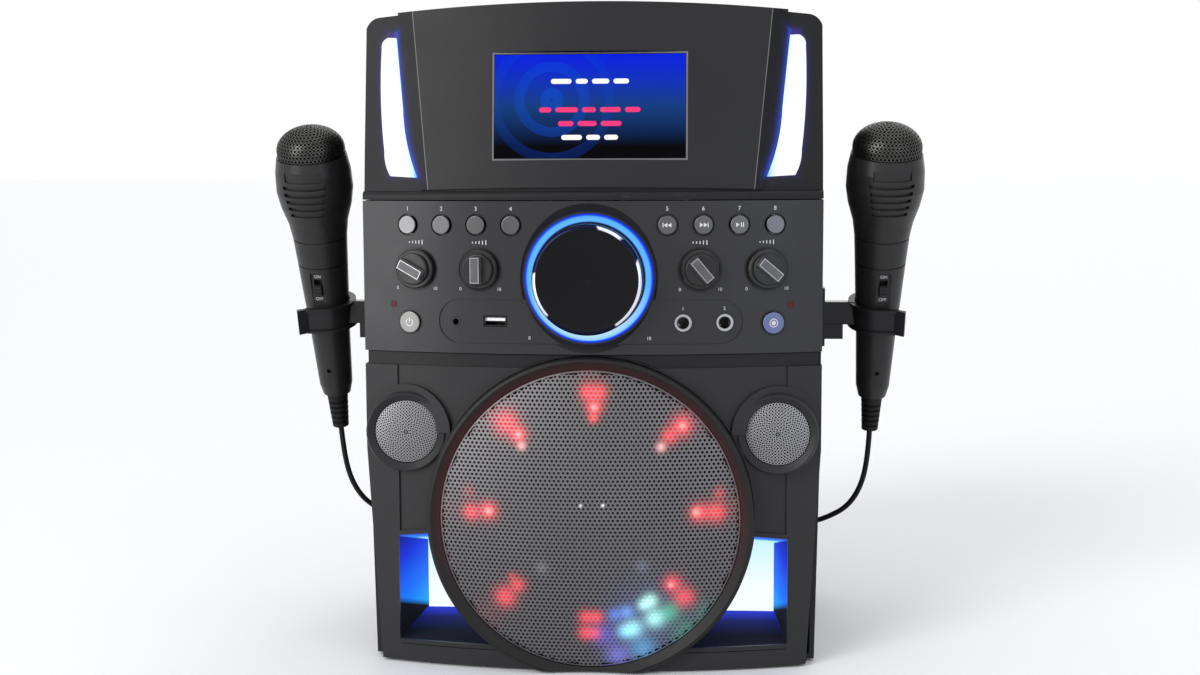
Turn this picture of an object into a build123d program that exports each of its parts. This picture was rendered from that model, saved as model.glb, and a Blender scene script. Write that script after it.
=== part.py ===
from build123d import *

import os
from math import asin, cos, pi, radians, sin, sqrt, tan

# A tower karaoke machine: a lower speaker front, a curved control fascia and a tilted screen
# head on one cabinet, a disc drive under a lid in the top, and two microphones in side clips.
# Millimetres, +Z up, the front faces -Y, the floor is z = 0.

# Cabinet outside
body_width = 270.0
base_width = body_width - 5.0
frame_base_width = body_width - 16.0
rear_width = body_width - 18.0
body_depth = 195.0
cabinet_top = 389.4
waist_height = 130.0
side_start = 30.0
arch_radius = 1530.0
corner_radius = 9.5
front_radius = 430.0
floor_gap = 1.5
wall = 3.0
seam = 0.4

# Where the front is split: speaker frame, control fascia, screen head
frame_top = 187.6
fascia_bottom = 188.2
fascia_top = 276.6
head_bottom = 277.2
front_split = 30.0
head_split = 46.0

# Screen head
head_tilt = 7.45
head_base = 283.0
head_setback = 5.4
cover_thickness = 1.4
screen_width = 113.4
screen_height = 63.0
screen_rise = 48.6
screen_border = 1.15
display_thickness = 3.0

# Control fascia
button_row = 262.8
first_button = 45.0
last_button = body_width / 2 - 28.2
button_pitch = (last_button - first_button) / 3
button_radius = 5.35
button_ring = 6.35
button_proud = 1.5
button_travel = 0.8
key_x = body_width / 2 - 29.0
key_row = 205.8
key_radius = 6.35
led_x = body_width / 2 - 18.7
led_row = 216.2
led_radius = 1.95
knob_row = 237.1
inner_knob_x = 63.7
outer_knob_x = body_width / 2 - 33.0
knob_radius = 11.5
knob_height = 11.0
shaft_radius = 3.0
shaft_fit = 0.05
slide_gap = 0.3
volume_row = 232.2
volume_reach = 15.6
volume_radius = 31.6
volume_dish = 43.0
volume_dish_depth = 2.5
glow_inner = 32.6
glow_outer = 37.4
tray_length = 2 * (key_x - 17.5)
tray_height = 26.0
tray_row = 207.0
tray_depth = 0.8
socket_row = 206.5
jack_x = (54.1, 78.0)
jack_bore = 3.2
jack_ring = 4.95
line_in_x = -78.5
line_in_bore = 1.8
usb_x = -54.9
usb_width = 13.1
usb_height = 5.7
socket_length = 18.5
board_plane = 27.0
board_thickness = 1.6

# Speaker front
woofer_z = 91.5
ring_outer = 95.5
ring_seat = 88.2
ring_bore = 84.0
ring_back = 12.0
grille_radius = 87.8
grille_rise = 14.0
grille_thickness = 1.2
drum_wall = 0.8
drum_inner = 86.2
drum_depth = 86.0
cone_radius = 74.0
magnet_radius = 44.0
led_arms = 8
led_arm_inner = 55.0
tweeter_x = body_width / 2 - 25.8
tweeter_z = 140.85
tweeter_bore = 18.9
tweeter_collar = 23.1
tweeter_brow = 28.0
panel_edge = body_width / 2 - 20.2
panel_recess = 1.2

# Lit pockets in the lower corners
pocket_outer_front = body_width / 2 - 18.2
pocket_outer_rear = body_width / 2 - 24.5
pocket_floor = 14.3
pocket_top_front = 81.5
pocket_top_rear = 59.0
pocket_depth = 90.0
pocket_wall = 2.5
light_panel = 2.0

# Rear screws
screw_head = 1.8

# Disc drive in the top
lid_near = head_split + 8.0
lid_far = body_depth - 14.0
lid_gap = 0.5
lid_rear_gap = 2.6
hinge_depth = lid_far - 3.0
hinge_height = cabinet_top - 4.4
hinge_pin = 1.5
disc_depth = (lid_near + lid_far) / 2
dish_radius = (lid_far - lid_near) / 2 - 2.0
dish_rim = cabinet_top - 6.0
dish_floor = dish_rim - 9.4
dish_wall = 2.5
lid_half_width = dish_radius + 11.5
hub_radius = 7.4
platter_radius = 15.0
spindle_radius = 1.5
motor_radius = 10.0
drive_height = dish_floor - 18.0
sled_start = 25.0
sled_travel = 32.0
rail_spread = 15.0
rail_height = drive_height + 8.0
rail_radius = 1.5

# Microphones and their clips
mic_x = body_width / 2 + 37.2
mic_depth = body_depth - 78.0
mic_foot = 128.0
mic_lean = 16.5
mic_splay = 1.0
mic_twist = 6.0
boot_length = 24.0
boot_tip = 5.2
boot_top = 6.6
clip_middle = 80.0
clip_height = 16.0
clip_bore = 14.4
clip_wall = 2.4
switch_middle = 101.0
switch_length = 20.0
switch_width = 8.8
slider_length = 7.0
slider_width = 4.6
switch_travel = 3.0

# Microphone cords, 1.8 m each: a free stretch and a put-away coil behind the cabinet
cord_diameter = 3.5
coil_x = body_width / 2 - 47.0
coil_depth = body_depth + 42.0
coil_mean_radius = 21.0
coil_pitch = 4.5
layer_quarters = 23
climb_quarters = 2
plug_handle = 5.4
plug_shaft = 3.17

front_y = (volume_reach - body_depth - screw_head) / 2
tilt = radians(head_tilt)
cord_radius = cord_diameter / 2
drum_outer = ring_outer + seam + drum_wall
above = cabinet_top + 20.0

os.makedirs("parts", exist_ok=True)


def save(part, name):
    """Label a finished piece and write its file."""
    part.label = name
    export_step(part, f"parts/{name}.step")


def facing(depth):
    """Plane square to the room at a depth behind the front, facing out."""
    return Plane(origin=(0, front_y + depth, 0), x_dir=(1, 0, 0), z_dir=(0, -1, 0))


def front_plane(x, z):
    """Plane on the curved front at x and z, facing out along the surface's normal."""
    turn = asin(x / front_radius)
    bow = front_radius * (1 - cos(turn))
    return Plane(
        origin=(x, front_y + bow, z), x_dir=(cos(turn), sin(turn), 0), z_dir=(sin(turn), -cos(turn), 0)
    )


def sag(radius, reach):
    """How far a circle of a radius falls away at a reach from its top."""
    return radius - sqrt(radius**2 - reach**2)


def dome_radius(reach, rise):
    """Radius of a round dome from its reach and its rise."""
    return (reach**2 + rise**2) / 2 / rise


def axial(plane):
    """Plane that holds another plane's axis: local x is the radius, local y runs along the axis."""
    return Plane(origin=plane.origin, x_dir=plane.x_dir, z_dir=-plane.y_dir)


def axis_of(plane):
    """A plane's own axis."""
    return Axis(plane.origin, plane.z_dir)


def rod(plane, radius, start, end):
    """Cylinder along a plane's axis between two heights above it."""
    with BuildPart() as shape:
        with BuildSketch(plane.offset(start)):
            Circle(radius)
        extrude(amount=end - start)
    return shape.part


def turned(plane, points):
    """Solid of revolution round a plane's axis, from radius and height points."""
    with BuildPart() as shape:
        with BuildSketch(axial(plane)):
            with BuildLine():
                Polyline(*points, close=True)
            make_face()
        revolve(axis=axis_of(plane))
    return shape.part


def body_block(inset, low, high, near, far, base=base_width):
    """The cabinet's outside moved in by inset, between two heights and two depths."""
    half = body_width / 2 - inset
    crown = cabinet_top - inset
    arch = arch_radius - inset
    shoulder = crown - arch + sqrt(arch**2 - half**2)
    bow = front_radius - inset
    cheek = front_y + inset + bow - sqrt(bow**2 - half**2)
    rear = front_y + body_depth - inset
    with BuildPart() as block:
        with BuildSketch(Plane.XZ) as outline:
            with BuildLine():
                Polyline(
                    (-half, shoulder),
                    (-half, waist_height),
                    (-base / 2 + inset, floor_gap + inset),
                    (base / 2 - inset, floor_gap + inset),
                    (half, waist_height),
                    (half, shoulder),
                )
                ThreePointArc((half, shoulder), (0, crown), (-half, shoulder))
            make_face()
            fillet(outline.vertices().sort_by(Axis.Y)[-2:], corner_radius - inset / 2)
        extrude(amount=body_depth, both=True)
        with BuildSketch(Plane.XY):
            with BuildLine():
                Polyline(
                    (-half, cheek),
                    (-half, front_y + side_start),
                    (-rear_width / 2 + inset, rear),
                    (rear_width / 2 - inset, rear),
                    (half, front_y + side_start),
                    (half, cheek),
                )
                ThreePointArc((half, cheek), (0, front_y + inset), (-half, cheek))
            make_face()
        extrude(amount=above, mode=Mode.INTERSECT)
        with Locations((0, front_y + (near + far) / 2, (low + high) / 2)):
            Box(2 * body_width, far - near, high - low, mode=Mode.INTERSECT)
    return block.part


def tilted_block(inset):
    """Everything behind the head's tilted, bowed front, moved in by inset."""
    bow = front_radius - inset
    reach = body_width * 0.6
    bend = bow - sqrt(bow**2 - reach**2)
    base = Plane(
        origin=(0, front_y + head_setback, head_base), x_dir=(1, 0, 0), z_dir=(0, sin(tilt), cos(tilt))
    )
    with BuildPart() as block:
        with BuildSketch(base):
            with BuildLine():
                ThreePointArc((-reach, inset + bend), (0, inset), (reach, inset + bend))
                Polyline(
                    (reach, inset + bend), (reach, body_depth), (-reach, body_depth), (-reach, inset + bend)
                )
            make_face()
        extrude(amount=body_width / 2, both=True)
    return block.part


# The head's flat working plane: x across, y up the slope, facing out.
head_plane = Plane(
    origin=(0, front_y + head_setback, head_base), x_dir=(1, 0, 0), z_dir=(0, -cos(tilt), sin(tilt))
)
woofer_plane = Plane(origin=(0, front_y, woofer_z), x_dir=(1, 0, 0), z_dir=(0, -1, 0))
volume_plane = front_plane(0, volume_row)
disc_plane = Plane(origin=(0, front_y + disc_depth, 0), x_dir=(1, 0, 0), z_dir=(0, 0, 1))


# ---------------------------------------------------------------- cabinet shell
with BuildPart() as cabinet_shell:
    add(body_block(0, floor_gap, above, front_split + seam, body_depth))
    add(body_block(wall, 0, above, 0, body_depth), mode=Mode.SUBTRACT)
    # The head moulding reaches further back than the front below it.
    with Locations((0, front_y + head_split + seam - body_depth / 2, head_bottom - seam + above / 2)):
        Box(2 * body_width, body_depth, above, mode=Mode.SUBTRACT)
    # Opening in the top for the lid.
    lid_hole_length = lid_far - lid_near + lid_gap + lid_rear_gap
    with Locations((0, front_y + lid_near - lid_gap + lid_hole_length / 2, cabinet_top)):
        Box(2 * (lid_half_width + lid_gap), lid_hole_length, 6 * wall, mode=Mode.SUBTRACT)
    # Hinge cheeks beside the lid and posts that carry the disc tray.
    cheek_width = 6.0
    tray_post_x = lid_half_width + 13.0
    for side in (-1, 1):
        cheek_x = side * (lid_half_width + lid_gap + cheek_width / 2)
        with Locations((cheek_x, front_y + hinge_depth, hinge_height - 1.0)):
            Box(cheek_width, 8.0, 5.4)
        for post_depth in (lid_near + 10.0, lid_far - 21.0):
            with Locations((side * tray_post_x, front_y + post_depth, dish_rim)):
                Cylinder(
                    4.0, cabinet_top - wall - 1.0 - dish_rim, align=(Align.CENTER, Align.CENTER, Align.MIN)
                )
    with Locations((0, front_y + hinge_depth, hinge_height)):
        Cylinder(
            hinge_pin + 0.08, 2 * (lid_half_width + 5.0), rotation=(0, 90, 0), mode=Mode.SUBTRACT
        )
    # Opening in the rear wall, closed from inside by the rear panel.
    rear_hole_width = rear_width - 36.0
    rear_hole_low = 24.0
    rear_hole_high = cabinet_top - 33.4
    rear_hole_middle = (rear_hole_low + rear_hole_high) / 2
    with BuildSketch(facing(body_depth - 2 * wall)):
        with Locations((0, rear_hole_middle)):
            RectangleRounded(rear_hole_width, rear_hole_high - rear_hole_low, 8.0)
    extrude(amount=-3 * wall, mode=Mode.SUBTRACT)
save(cabinet_shell.part, "cabinet_shell")

# ---------------------------------------------------------------- rear panel
rear_lap = 8.0
rear_panel_depth = body_depth - wall
rear_panel_thickness = 2.5
inlet_z = 60.0
rca_z = 110.0
with BuildPart() as rear_panel:
    with BuildSketch(facing(rear_panel_depth - rear_panel_thickness)):
        with Locations((0, rear_hole_middle)):
            RectangleRounded(rear_hole_width + rear_lap, rear_hole_high - rear_hole_low + rear_lap, 8.0)
        # Rows of vent slots.
        with Locations((0, rear_hole_high - 66.0)):
            with GridLocations(0, 9.0, 1, 9):
                SlotOverall(110.0, 3.5, mode=Mode.SUBTRACT)
        # Places of the mains inlet and the signal sockets.
        with Locations((-60.0, inlet_z)):
            Rectangle(21.0, 13.0, mode=Mode.SUBTRACT)
        for rca_index in range(3):
            with Locations((-60.0 + 18.0 * rca_index, rca_z)):
                Circle(4.2, mode=Mode.SUBTRACT)
    extrude(amount=-rear_panel_thickness)
save(rear_panel.part, "rear_panel")

# ---------------------------------------------------------------- rear sockets
with BuildPart() as rear_sockets:
    # Two-pin mains inlet.
    with BuildSketch(facing(rear_panel_depth - 16.0)):
        with Locations((-60.0, inlet_z)):
            Rectangle(20.6, 12.6)
    extrude(amount=-17.0)
    with BuildSketch(facing(rear_panel_depth - 12.0)):
        with Locations((-60.0, inlet_z)):
            SlotOverall(15.0, 8.0)
    extrude(amount=-20.0, mode=Mode.SUBTRACT)
    for pin_x in (-64.0, -56.0):
        with BuildSketch(facing(rear_panel_depth - 13.0)):
            with Locations((pin_x, inlet_z)):
                Circle(1.2)
        extrude(amount=-10.0)
    # Signal sockets.
    for rca_index in range(3):
        with BuildSketch(facing(rear_panel_depth - 10.0)):
            with Locations((-60.0 + 18.0 * rca_index, rca_z)):
                Circle(4.1)
                Circle(1.6, mode=Mode.SUBTRACT)
        extrude(amount=-12.5)
save(rear_sockets.part, "rear_sockets")


# ---------------------------------------------------------------- speaker front frame
def frame_block(inset, low, high, near, far):
    """The speaker frame's outside, narrower at the floor than the shell behind it."""
    return body_block(inset, low, high, near, far, base=frame_base_width)


def pocket_loft(side, grow, near, far):
    """Room of a lit pocket, grown by its wall: its ceiling slopes down to the rear."""
    inner_x = side * 50.0
    low = pocket_floor - grow
    with BuildPart() as room:
        for depth in (near, far):
            share = depth / pocket_depth
            outer_x = side * (pocket_outer_front + (pocket_outer_rear - pocket_outer_front) * share + grow)
            high = pocket_top_front + (pocket_top_rear - pocket_top_front) * share + grow
            with BuildSketch(facing(depth)):
                with BuildLine():
                    Polyline(
                        (inner_x, low), (outer_x, low), (outer_x, high), (inner_x, high + 4.0), close=True
                    )
                make_face()
        loft(ruled=True)
    return room.part


def frame_skin(thickness, low, high, half):
    """Outer layer of the speaker frame's front between two heights, half wide each side."""
    with BuildPart() as skin:
        add(frame_block(0, floor_gap, frame_top, 0, front_split))
        add(frame_block(thickness, 0, above, 0, front_split + 1), mode=Mode.SUBTRACT)
        with Locations((0, front_y + front_split / 2, (low + high) / 2)):
            Box(2 * half, front_split, high - low, mode=Mode.INTERSECT)
    return skin.part


def drum_form():
    """Solid that the woofer's drum is bored out of."""
    with BuildPart() as drum:
        add(frame_block(0, floor_gap, frame_top - wall, 0, drum_depth))
        add(rod(woofer_plane, drum_outer, -drum_depth, 0), mode=Mode.INTERSECT)
    return drum.part


def pocket_walls(side):
    """Solid that a lit pocket is hollowed out of."""
    with BuildPart() as walls:
        add(frame_block(0, floor_gap, frame_top, 0, pocket_depth + pocket_wall))
        add(pocket_loft(side, pocket_wall, 0, pocket_depth + pocket_wall), mode=Mode.INTERSECT)
    return walls.part


def pocket_room(side):
    """Hollow of a lit pocket beside the drum."""
    with BuildPart() as room:
        add(pocket_loft(side, 0, 0, pocket_depth))
        add(rod(woofer_plane, drum_outer, -drum_depth - 9, 9), mode=Mode.SUBTRACT)
    return room.part


def light_panel_form(side):
    """Lit sheet against the rear wall of a pocket."""
    with BuildPart() as sheet:
        add(pocket_loft(side, -0.3, pocket_depth - light_panel - 0.3, pocket_depth - 0.3))
        add(rod(woofer_plane, drum_outer + 0.3, -pocket_depth - 9, 0), mode=Mode.SUBTRACT)
    return sheet.part


def tweeter_plane(side):
    """Plane of a tweeter, facing straight out at the depth of the bowed front behind it."""
    depth = sag(front_radius, tweeter_x)
    return Plane(origin=(side * tweeter_x, front_y + depth, tweeter_z), x_dir=(1, 0, 0), z_dir=(0, -1, 0))


front_panel_top = 180.0
panel_low = pocket_floor - 3.0
brow_recess = panel_recess + 0.8
with BuildPart() as front_frame:
    add(frame_block(0, floor_gap, frame_top, 0, front_split))
    add(frame_block(wall, floor_gap + wall, frame_top - wall, 0, front_split + 1), mode=Mode.SUBTRACT)
    # Sunk centre panel between the side bands, and a sunk bevel under the fascia's overhang.
    add(frame_skin(panel_recess, panel_low, front_panel_top, panel_edge), mode=Mode.SUBTRACT)
    add(frame_skin(brow_recess, front_panel_top, frame_top, body_width), mode=Mode.SUBTRACT)
    # Drum round the woofer and walls round the lit pockets.
    add(drum_form())
    for side in (-1, 1):
        add(pocket_walls(side))
        add(pocket_room(side), mode=Mode.SUBTRACT)
    add(rod(woofer_plane, ring_outer + seam, -ring_back - seam, 20), mode=Mode.SUBTRACT)
    add(rod(woofer_plane, drum_inner, -drum_depth - 9, 0), mode=Mode.SUBTRACT)
    # Tweeter collars that face straight out, with a raised brow on the bowed front over each.
    for side in (-1, 1):
        with BuildSketch(front_plane(side * tweeter_x, tweeter_z).offset(-wall + 0.5)):
            Circle(tweeter_brow)
            with Locations((0, -20.0)):
                Rectangle(80.0, 40.0, mode=Mode.SUBTRACT)
            with Locations((side * 45.5, 0)):
                Rectangle(40.0, 80.0, mode=Mode.SUBTRACT)
        extrude(amount=wall + 0.6)
        add(
            turned(
                tweeter_plane(side),
                [
                    (0.0, -10.5),
                    (tweeter_collar + 0.9, -10.5),
                    (tweeter_collar + 0.6, 4.0),
                    (tweeter_collar, 5.0),
                    (tweeter_collar - 0.8, 5.0),
                    (tweeter_bore, 2.8),
                    (0.0, 2.8),
                ],
            )
        )
        add(rod(tweeter_plane(side), tweeter_bore, -11.0, 6.0), mode=Mode.SUBTRACT)
    add(rod(woofer_plane, ring_outer + seam, -ring_back - seam, 20), mode=Mode.SUBTRACT)
    # Behind the split the drum and pockets stay above the shell's floor.
    with Locations((0, front_y + front_split + body_depth / 2, 0)):
        Box(2 * body_width, body_depth, 2 * (floor_gap + wall + seam), mode=Mode.SUBTRACT)
save(front_frame.part, "front_frame")

# ---------------------------------------------------------------- lit panels in the pockets
with BuildPart() as pocket_light_panels:
    for side in (-1, 1):
        add(light_panel_form(side))
save(pocket_light_panels.part, "pocket_light_panels")

# ---------------------------------------------------------------- woofer trim ring
with BuildPart() as woofer_ring:
    with BuildSketch(axial(woofer_plane)):
        with BuildLine():
            Polyline(
                (ring_outer - 2.6, 3.6),
                (ring_seat, 0.0),
                (ring_seat, -3.6),
                (ring_bore, -3.6),
                (ring_bore, -ring_back),
                (ring_outer, -ring_back),
                (ring_outer, 1.2),
            )
            ThreePointArc((ring_outer, 1.2), (ring_outer - 0.8, 3.0), (ring_outer - 2.6, 3.6))
        make_face()
    revolve(axis=axis_of(woofer_plane))
    # The ring is cut off level with the underside of the cabinet.
    with Locations((0, front_y, floor_gap - 10.0)):
        Box(2 * ring_outer, 60.0, 20.0, mode=Mode.SUBTRACT)
save(woofer_ring.part, "woofer_ring")

# ---------------------------------------------------------------- woofer grille
grille_foot = -3.3
grille_ball = dome_radius(grille_radius, grille_rise)
grille_inner = grille_radius - grille_thickness
inner_ball = grille_ball - grille_thickness
with BuildPart() as woofer_grille:
    with BuildSketch(axial(woofer_plane)):
        with BuildLine():
            Line((0, grille_rise - grille_thickness), (0, grille_rise))
            ThreePointArc(
                (0, grille_rise),
                (grille_radius / 2, grille_rise - sag(grille_ball, grille_radius / 2)),
                (grille_radius, 0),
            )
            Polyline(
                (grille_radius, 0),
                (grille_radius, grille_foot),
                (grille_inner, grille_foot),
                (grille_inner, grille_rise - grille_thickness - sag(inner_ball, grille_inner)),
            )
            ThreePointArc(
                (grille_inner, grille_rise - grille_thickness - sag(inner_ball, grille_inner)),
                (grille_inner / 2, grille_rise - grille_thickness - sag(inner_ball, grille_inner / 2)),
                (0, grille_rise - grille_thickness),
            )
        make_face()
    revolve(axis=axis_of(woofer_plane))
save(woofer_grille.part, "woofer_grille")

# ---------------------------------------------------------------- light show ring behind the grille
led_ring_outer = ring_bore - slide_gap
with BuildPart() as light_show_leds:
    with BuildSketch(woofer_plane.offset(-8.0)):
        Circle(led_ring_outer)
        Circle(led_ring_outer - 6.0, mode=Mode.SUBTRACT)
        with PolarLocations((led_arm_inner + led_ring_outer - 3.0) / 2, led_arms):
            Rectangle(led_ring_outer - 3.0 - led_arm_inner, 8.0)
    extrude(amount=2.0)
    with BuildSketch(woofer_plane.offset(-6.2)):
        for led_circle in (led_arm_inner + 5.0, led_arm_inner + 15.0):
            with PolarLocations(led_circle, led_arms):
                Circle(3.0)
    extrude(amount=3.0)
save(light_show_leds.part, "light_show_leds")

# ---------------------------------------------------------------- woofer basket and magnet
basket_front = -ring_back - slide_gap
with BuildPart() as woofer_basket:
    with BuildSketch(axial(woofer_plane)):
        with BuildLine():
            Polyline(
                (0, -80.0),
                (magnet_radius, -80.0),
                (magnet_radius, -56.0),
                (48.0, -52.0),
                (76.0, basket_front - 4.0),
                (drum_inner - slide_gap, basket_front - 3.0),
                (drum_inner - slide_gap, basket_front),
                (cone_radius - 4.0, basket_front),
                (cone_radius - 4.0, basket_front - 3.0),
                (43.0, -50.0),
                (22.0, -54.0),
                (0, -54.0),
                close=True,
            )
        make_face()
    revolve(axis=axis_of(woofer_plane))
save(woofer_basket.part, "woofer_basket")

# ---------------------------------------------------------------- woofer cone with its surround
cap_radius = 20.0
cap_rise = 6.0
cap_top = -35.0
coil_radius = 16.0
with BuildPart() as woofer_cone:
    with BuildSketch(axial(woofer_plane)):
        with BuildLine():
            Polyline(
                (cone_radius, basket_front + 0.2),
                (cone_radius, basket_front + 1.4),
                (cone_radius - 3.0, basket_front + 1.4),
            )
            ThreePointArc(
                (cone_radius - 3.0, basket_front + 1.4),
                (cone_radius - 7.5, basket_front + 3.4),
                (cone_radius - 12.0, basket_front + 1.4),
            )
            Polyline((cone_radius - 12.0, basket_front + 1.4), (cap_radius, cap_top - cap_rise))
            ThreePointArc(
                (cap_radius, cap_top - cap_rise),
                (cap_radius / 2, cap_top - sag(dome_radius(cap_radius, cap_rise), cap_radius / 2)),
                (0, cap_top),
            )
            Polyline(
                (0, cap_top),
                (0, cap_top - 2.0),
                (coil_radius, cap_top - 8.5),
                (coil_radius, cap_top - 17.0),
                (coil_radius + 1.2, cap_top - 17.0),
                (coil_radius + 2.5, cap_top - 8.5),
                (cone_radius - 12.0, basket_front + 0.2),
                (cone_radius, basket_front + 0.2),
            )
        make_face()
    revolve(axis=axis_of(woofer_plane))
save(woofer_cone.part, "woofer_cone")

# ---------------------------------------------------------------- tweeters and their grilles
with BuildPart() as tweeter_grilles:
    for side in (-1, 1):
        edge = tweeter_bore - 0.4
        add(turned(tweeter_plane(side), [(0, 3.0), (0, 4.2), (edge, 2.4), (edge, 1.2)]))
save(tweeter_grilles.part, "tweeter_grilles")

with BuildPart() as tweeters:
    for side in (-1, 1):
        add(rod(tweeter_plane(side), 18.4, -5.0, 0.0))
        add(rod(tweeter_plane(side), 14.0, -20.0, -5.0))
        add(rod(tweeter_plane(side), 11.0, -2.0, 1.0), mode=Mode.SUBTRACT)
        add(turned(tweeter_plane(side), [(0, -2.0), (8.0, -2.0), (6.5, 0.4), (0, 1.6)]))
save(tweeters.part, "tweeters")


# ---------------------------------------------------------------- control fascia
def fascia_block(inset, low, high, near, far):
    """The fascia's part of the cabinet's outside, moved in by inset."""
    return body_block(inset, max(low, fascia_bottom), min(high, fascia_top), near, far)


def fascia_skin(thickness):
    """Outer layer of the fascia's curved front."""
    with BuildPart() as skin:
        add(fascia_block(0, 0, above, 0, front_split))
        add(body_block(thickness, 0, above, 0, front_split + 1), mode=Mode.SUBTRACT)
    return skin.part


def socket_recess():
    """Pill-shaped layer of the fascia's front, taken out round the sockets."""
    with BuildPart() as pill:
        with BuildSketch(facing(front_split)):
            with Locations((0, tray_row)):
                RectangleRounded(tray_length, tray_height, tray_height / 2 - 0.1)
        extrude(amount=front_split + 5.0)
        add(fascia_skin(tray_depth), mode=Mode.INTERSECT)
    return pill.part


button_places = []
for side in (-1, 1):
    for index in range(4):
        button_places.append(side * (first_button + button_pitch * index))
button_places.sort()
knob_places = (-outer_knob_x, -inner_knob_x, inner_knob_x, outer_knob_x)

with BuildPart() as control_fascia:
    add(fascia_block(0, 0, above, 0, front_split))
    add(
        body_block(wall, fascia_bottom + wall, fascia_top - wall, 0, front_split + 1), mode=Mode.SUBTRACT
    )
    # Shallow pill-shaped recess round the sockets.
    add(socket_recess(), mode=Mode.SUBTRACT)
    # Dish round the volume knob, with a groove for the light ring.
    add(
        turned(
            volume_plane,
            [(0, 9.0), (volume_dish + 3.0, 9.0), (volume_dish, -0.3), (glow_outer + 1.0, -volume_dish_depth),
             (0, -volume_dish_depth)],
        ),
        mode=Mode.SUBTRACT,
    )
    add(rod(volume_plane, volume_dish - 2.0, -volume_dish_depth - 4.0, -volume_dish_depth))
    add(rod(volume_plane, glow_outer + 0.2, -volume_dish_depth - 1.5, 0), mode=Mode.SUBTRACT)
    add(rod(volume_plane, glow_inner - 0.2, -volume_dish_depth - 2.0, -volume_dish_depth - 0.4))
    add(rod(volume_plane, shaft_radius + 1.2, -20.0, 9.0), mode=Mode.SUBTRACT)
    # Holes of the buttons and knobs.
    for x in button_places:
        add(rod(front_plane(x, button_row), button_radius + slide_gap, -20.0, 9.0), mode=Mode.SUBTRACT)
        add(rod(front_plane(x, button_row), button_ring, -1.4, 9.0), mode=Mode.SUBTRACT)
    for side in (-1, 1):
        add(rod(front_plane(side * key_x, key_row), key_radius + slide_gap, -20.0, 9.0), mode=Mode.SUBTRACT)
        add(rod(front_plane(side * led_x, led_row), led_radius + 0.1, -20.0, 9.0), mode=Mode.SUBTRACT)
    for x in knob_places:
        add(rod(front_plane(x, knob_row), shaft_radius + 1.2, -20.0, 9.0), mode=Mode.SUBTRACT)
    # Holes of the sockets.
    for x in jack_x:
        add(rod(front_plane(x, socket_row), jack_ring - 0.8, -20.0, 9.0), mode=Mode.SUBTRACT)
    add(rod(front_plane(line_in_x, socket_row), line_in_bore + 1.0, -20.0, 9.0), mode=Mode.SUBTRACT)
    with BuildSketch(front_plane(usb_x, socket_row + 0.7)):
        Rectangle(usb_width + 1.0, usb_height + 0.8)
    extrude(amount=8.0, both=True, mode=Mode.SUBTRACT)
save(control_fascia.part, "control_fascia")

# ---------------------------------------------------------------- volume light ring
with BuildPart() as volume_light_ring:
    with BuildSketch(volume_plane.offset(-volume_dish_depth - 1.3)):
        Circle(glow_outer)
        Circle(glow_inner, mode=Mode.SUBTRACT)
    extrude(amount=2.6)
save(volume_light_ring.part, "volume_light_ring")

# ---------------------------------------------------------------- front sockets
with BuildPart() as front_sockets:
    for x in jack_x:
        jack_plane = front_plane(x, socket_row)
        add(rod(jack_plane, jack_ring, -tray_depth, 0.9))
        add(rod(jack_plane, jack_ring - 1.0, -socket_length, -tray_depth))
        add(rod(jack_plane, jack_bore, 1.5 - socket_length, 2.0), mode=Mode.SUBTRACT)
    line_plane = front_plane(line_in_x, socket_row)
    add(rod(line_plane, line_in_bore + 0.9, 2.0 - socket_length, -tray_depth + 0.2))
    add(rod(line_plane, line_in_bore, 3.5 - socket_length, 2.0), mode=Mode.SUBTRACT)
    usb_plane = front_plane(usb_x, socket_row + 0.7)
    with BuildSketch(usb_plane.offset(-1.2)):
        Rectangle(usb_width, usb_height)
        Rectangle(usb_width - 0.9, usb_height - 0.9, mode=Mode.SUBTRACT)
    extrude(amount=-14.0)
    with BuildSketch(usb_plane.offset(-15.2)):
        Rectangle(usb_width, usb_height)
    extrude(amount=-1.0)
    with BuildSketch(usb_plane.offset(-15.5)):
        with Locations((0, 0.9)):
            Rectangle(usb_width - 1.6, 1.8)
    extrude(amount=13.0)
save(front_sockets.part, "front_sockets")

# ---------------------------------------------------------------- control board
switch_gap = button_travel + slide_gap
flange_front = -wall - slide_gap
flange_back = flange_front - 1.2
with BuildPart() as control_board:
    with BuildSketch(facing(board_plane)):
        with Locations((0, (button_row + key_row) / 2)):
            Rectangle(body_width - 26.0, button_row - key_row + 18.0)
    extrude(amount=-board_thickness)
    # Tact switches on risers behind the buttons, and lamps behind their holes.
    switch_places = [(x, button_row) for x in button_places]
    switch_places += [(side * key_x, key_row) for side in (-1, 1)]
    for x, z in switch_places:
        add(rod(front_plane(x, z), 2.5, -32.0, flange_back - switch_gap))
    for side in (-1, 1):
        add(rod(front_plane(side * led_x, led_row), led_radius, -20.0, 0.3))
    # Posts up to the fascia's inner face.
    for side in (-1, 1):
        for post_x in (54.0, body_width / 2 - 16.5):
            add(rod(front_plane(side * post_x, 250.0), 2.0, -32.0, -wall - 0.1))
    # Nothing stands behind the board.
    with Locations((0, front_y + board_plane + board_thickness + 30.0, button_row)):
        Box(2 * body_width, 60.0, 200.0, mode=Mode.SUBTRACT)
save(control_board.part, "control_board")

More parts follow.
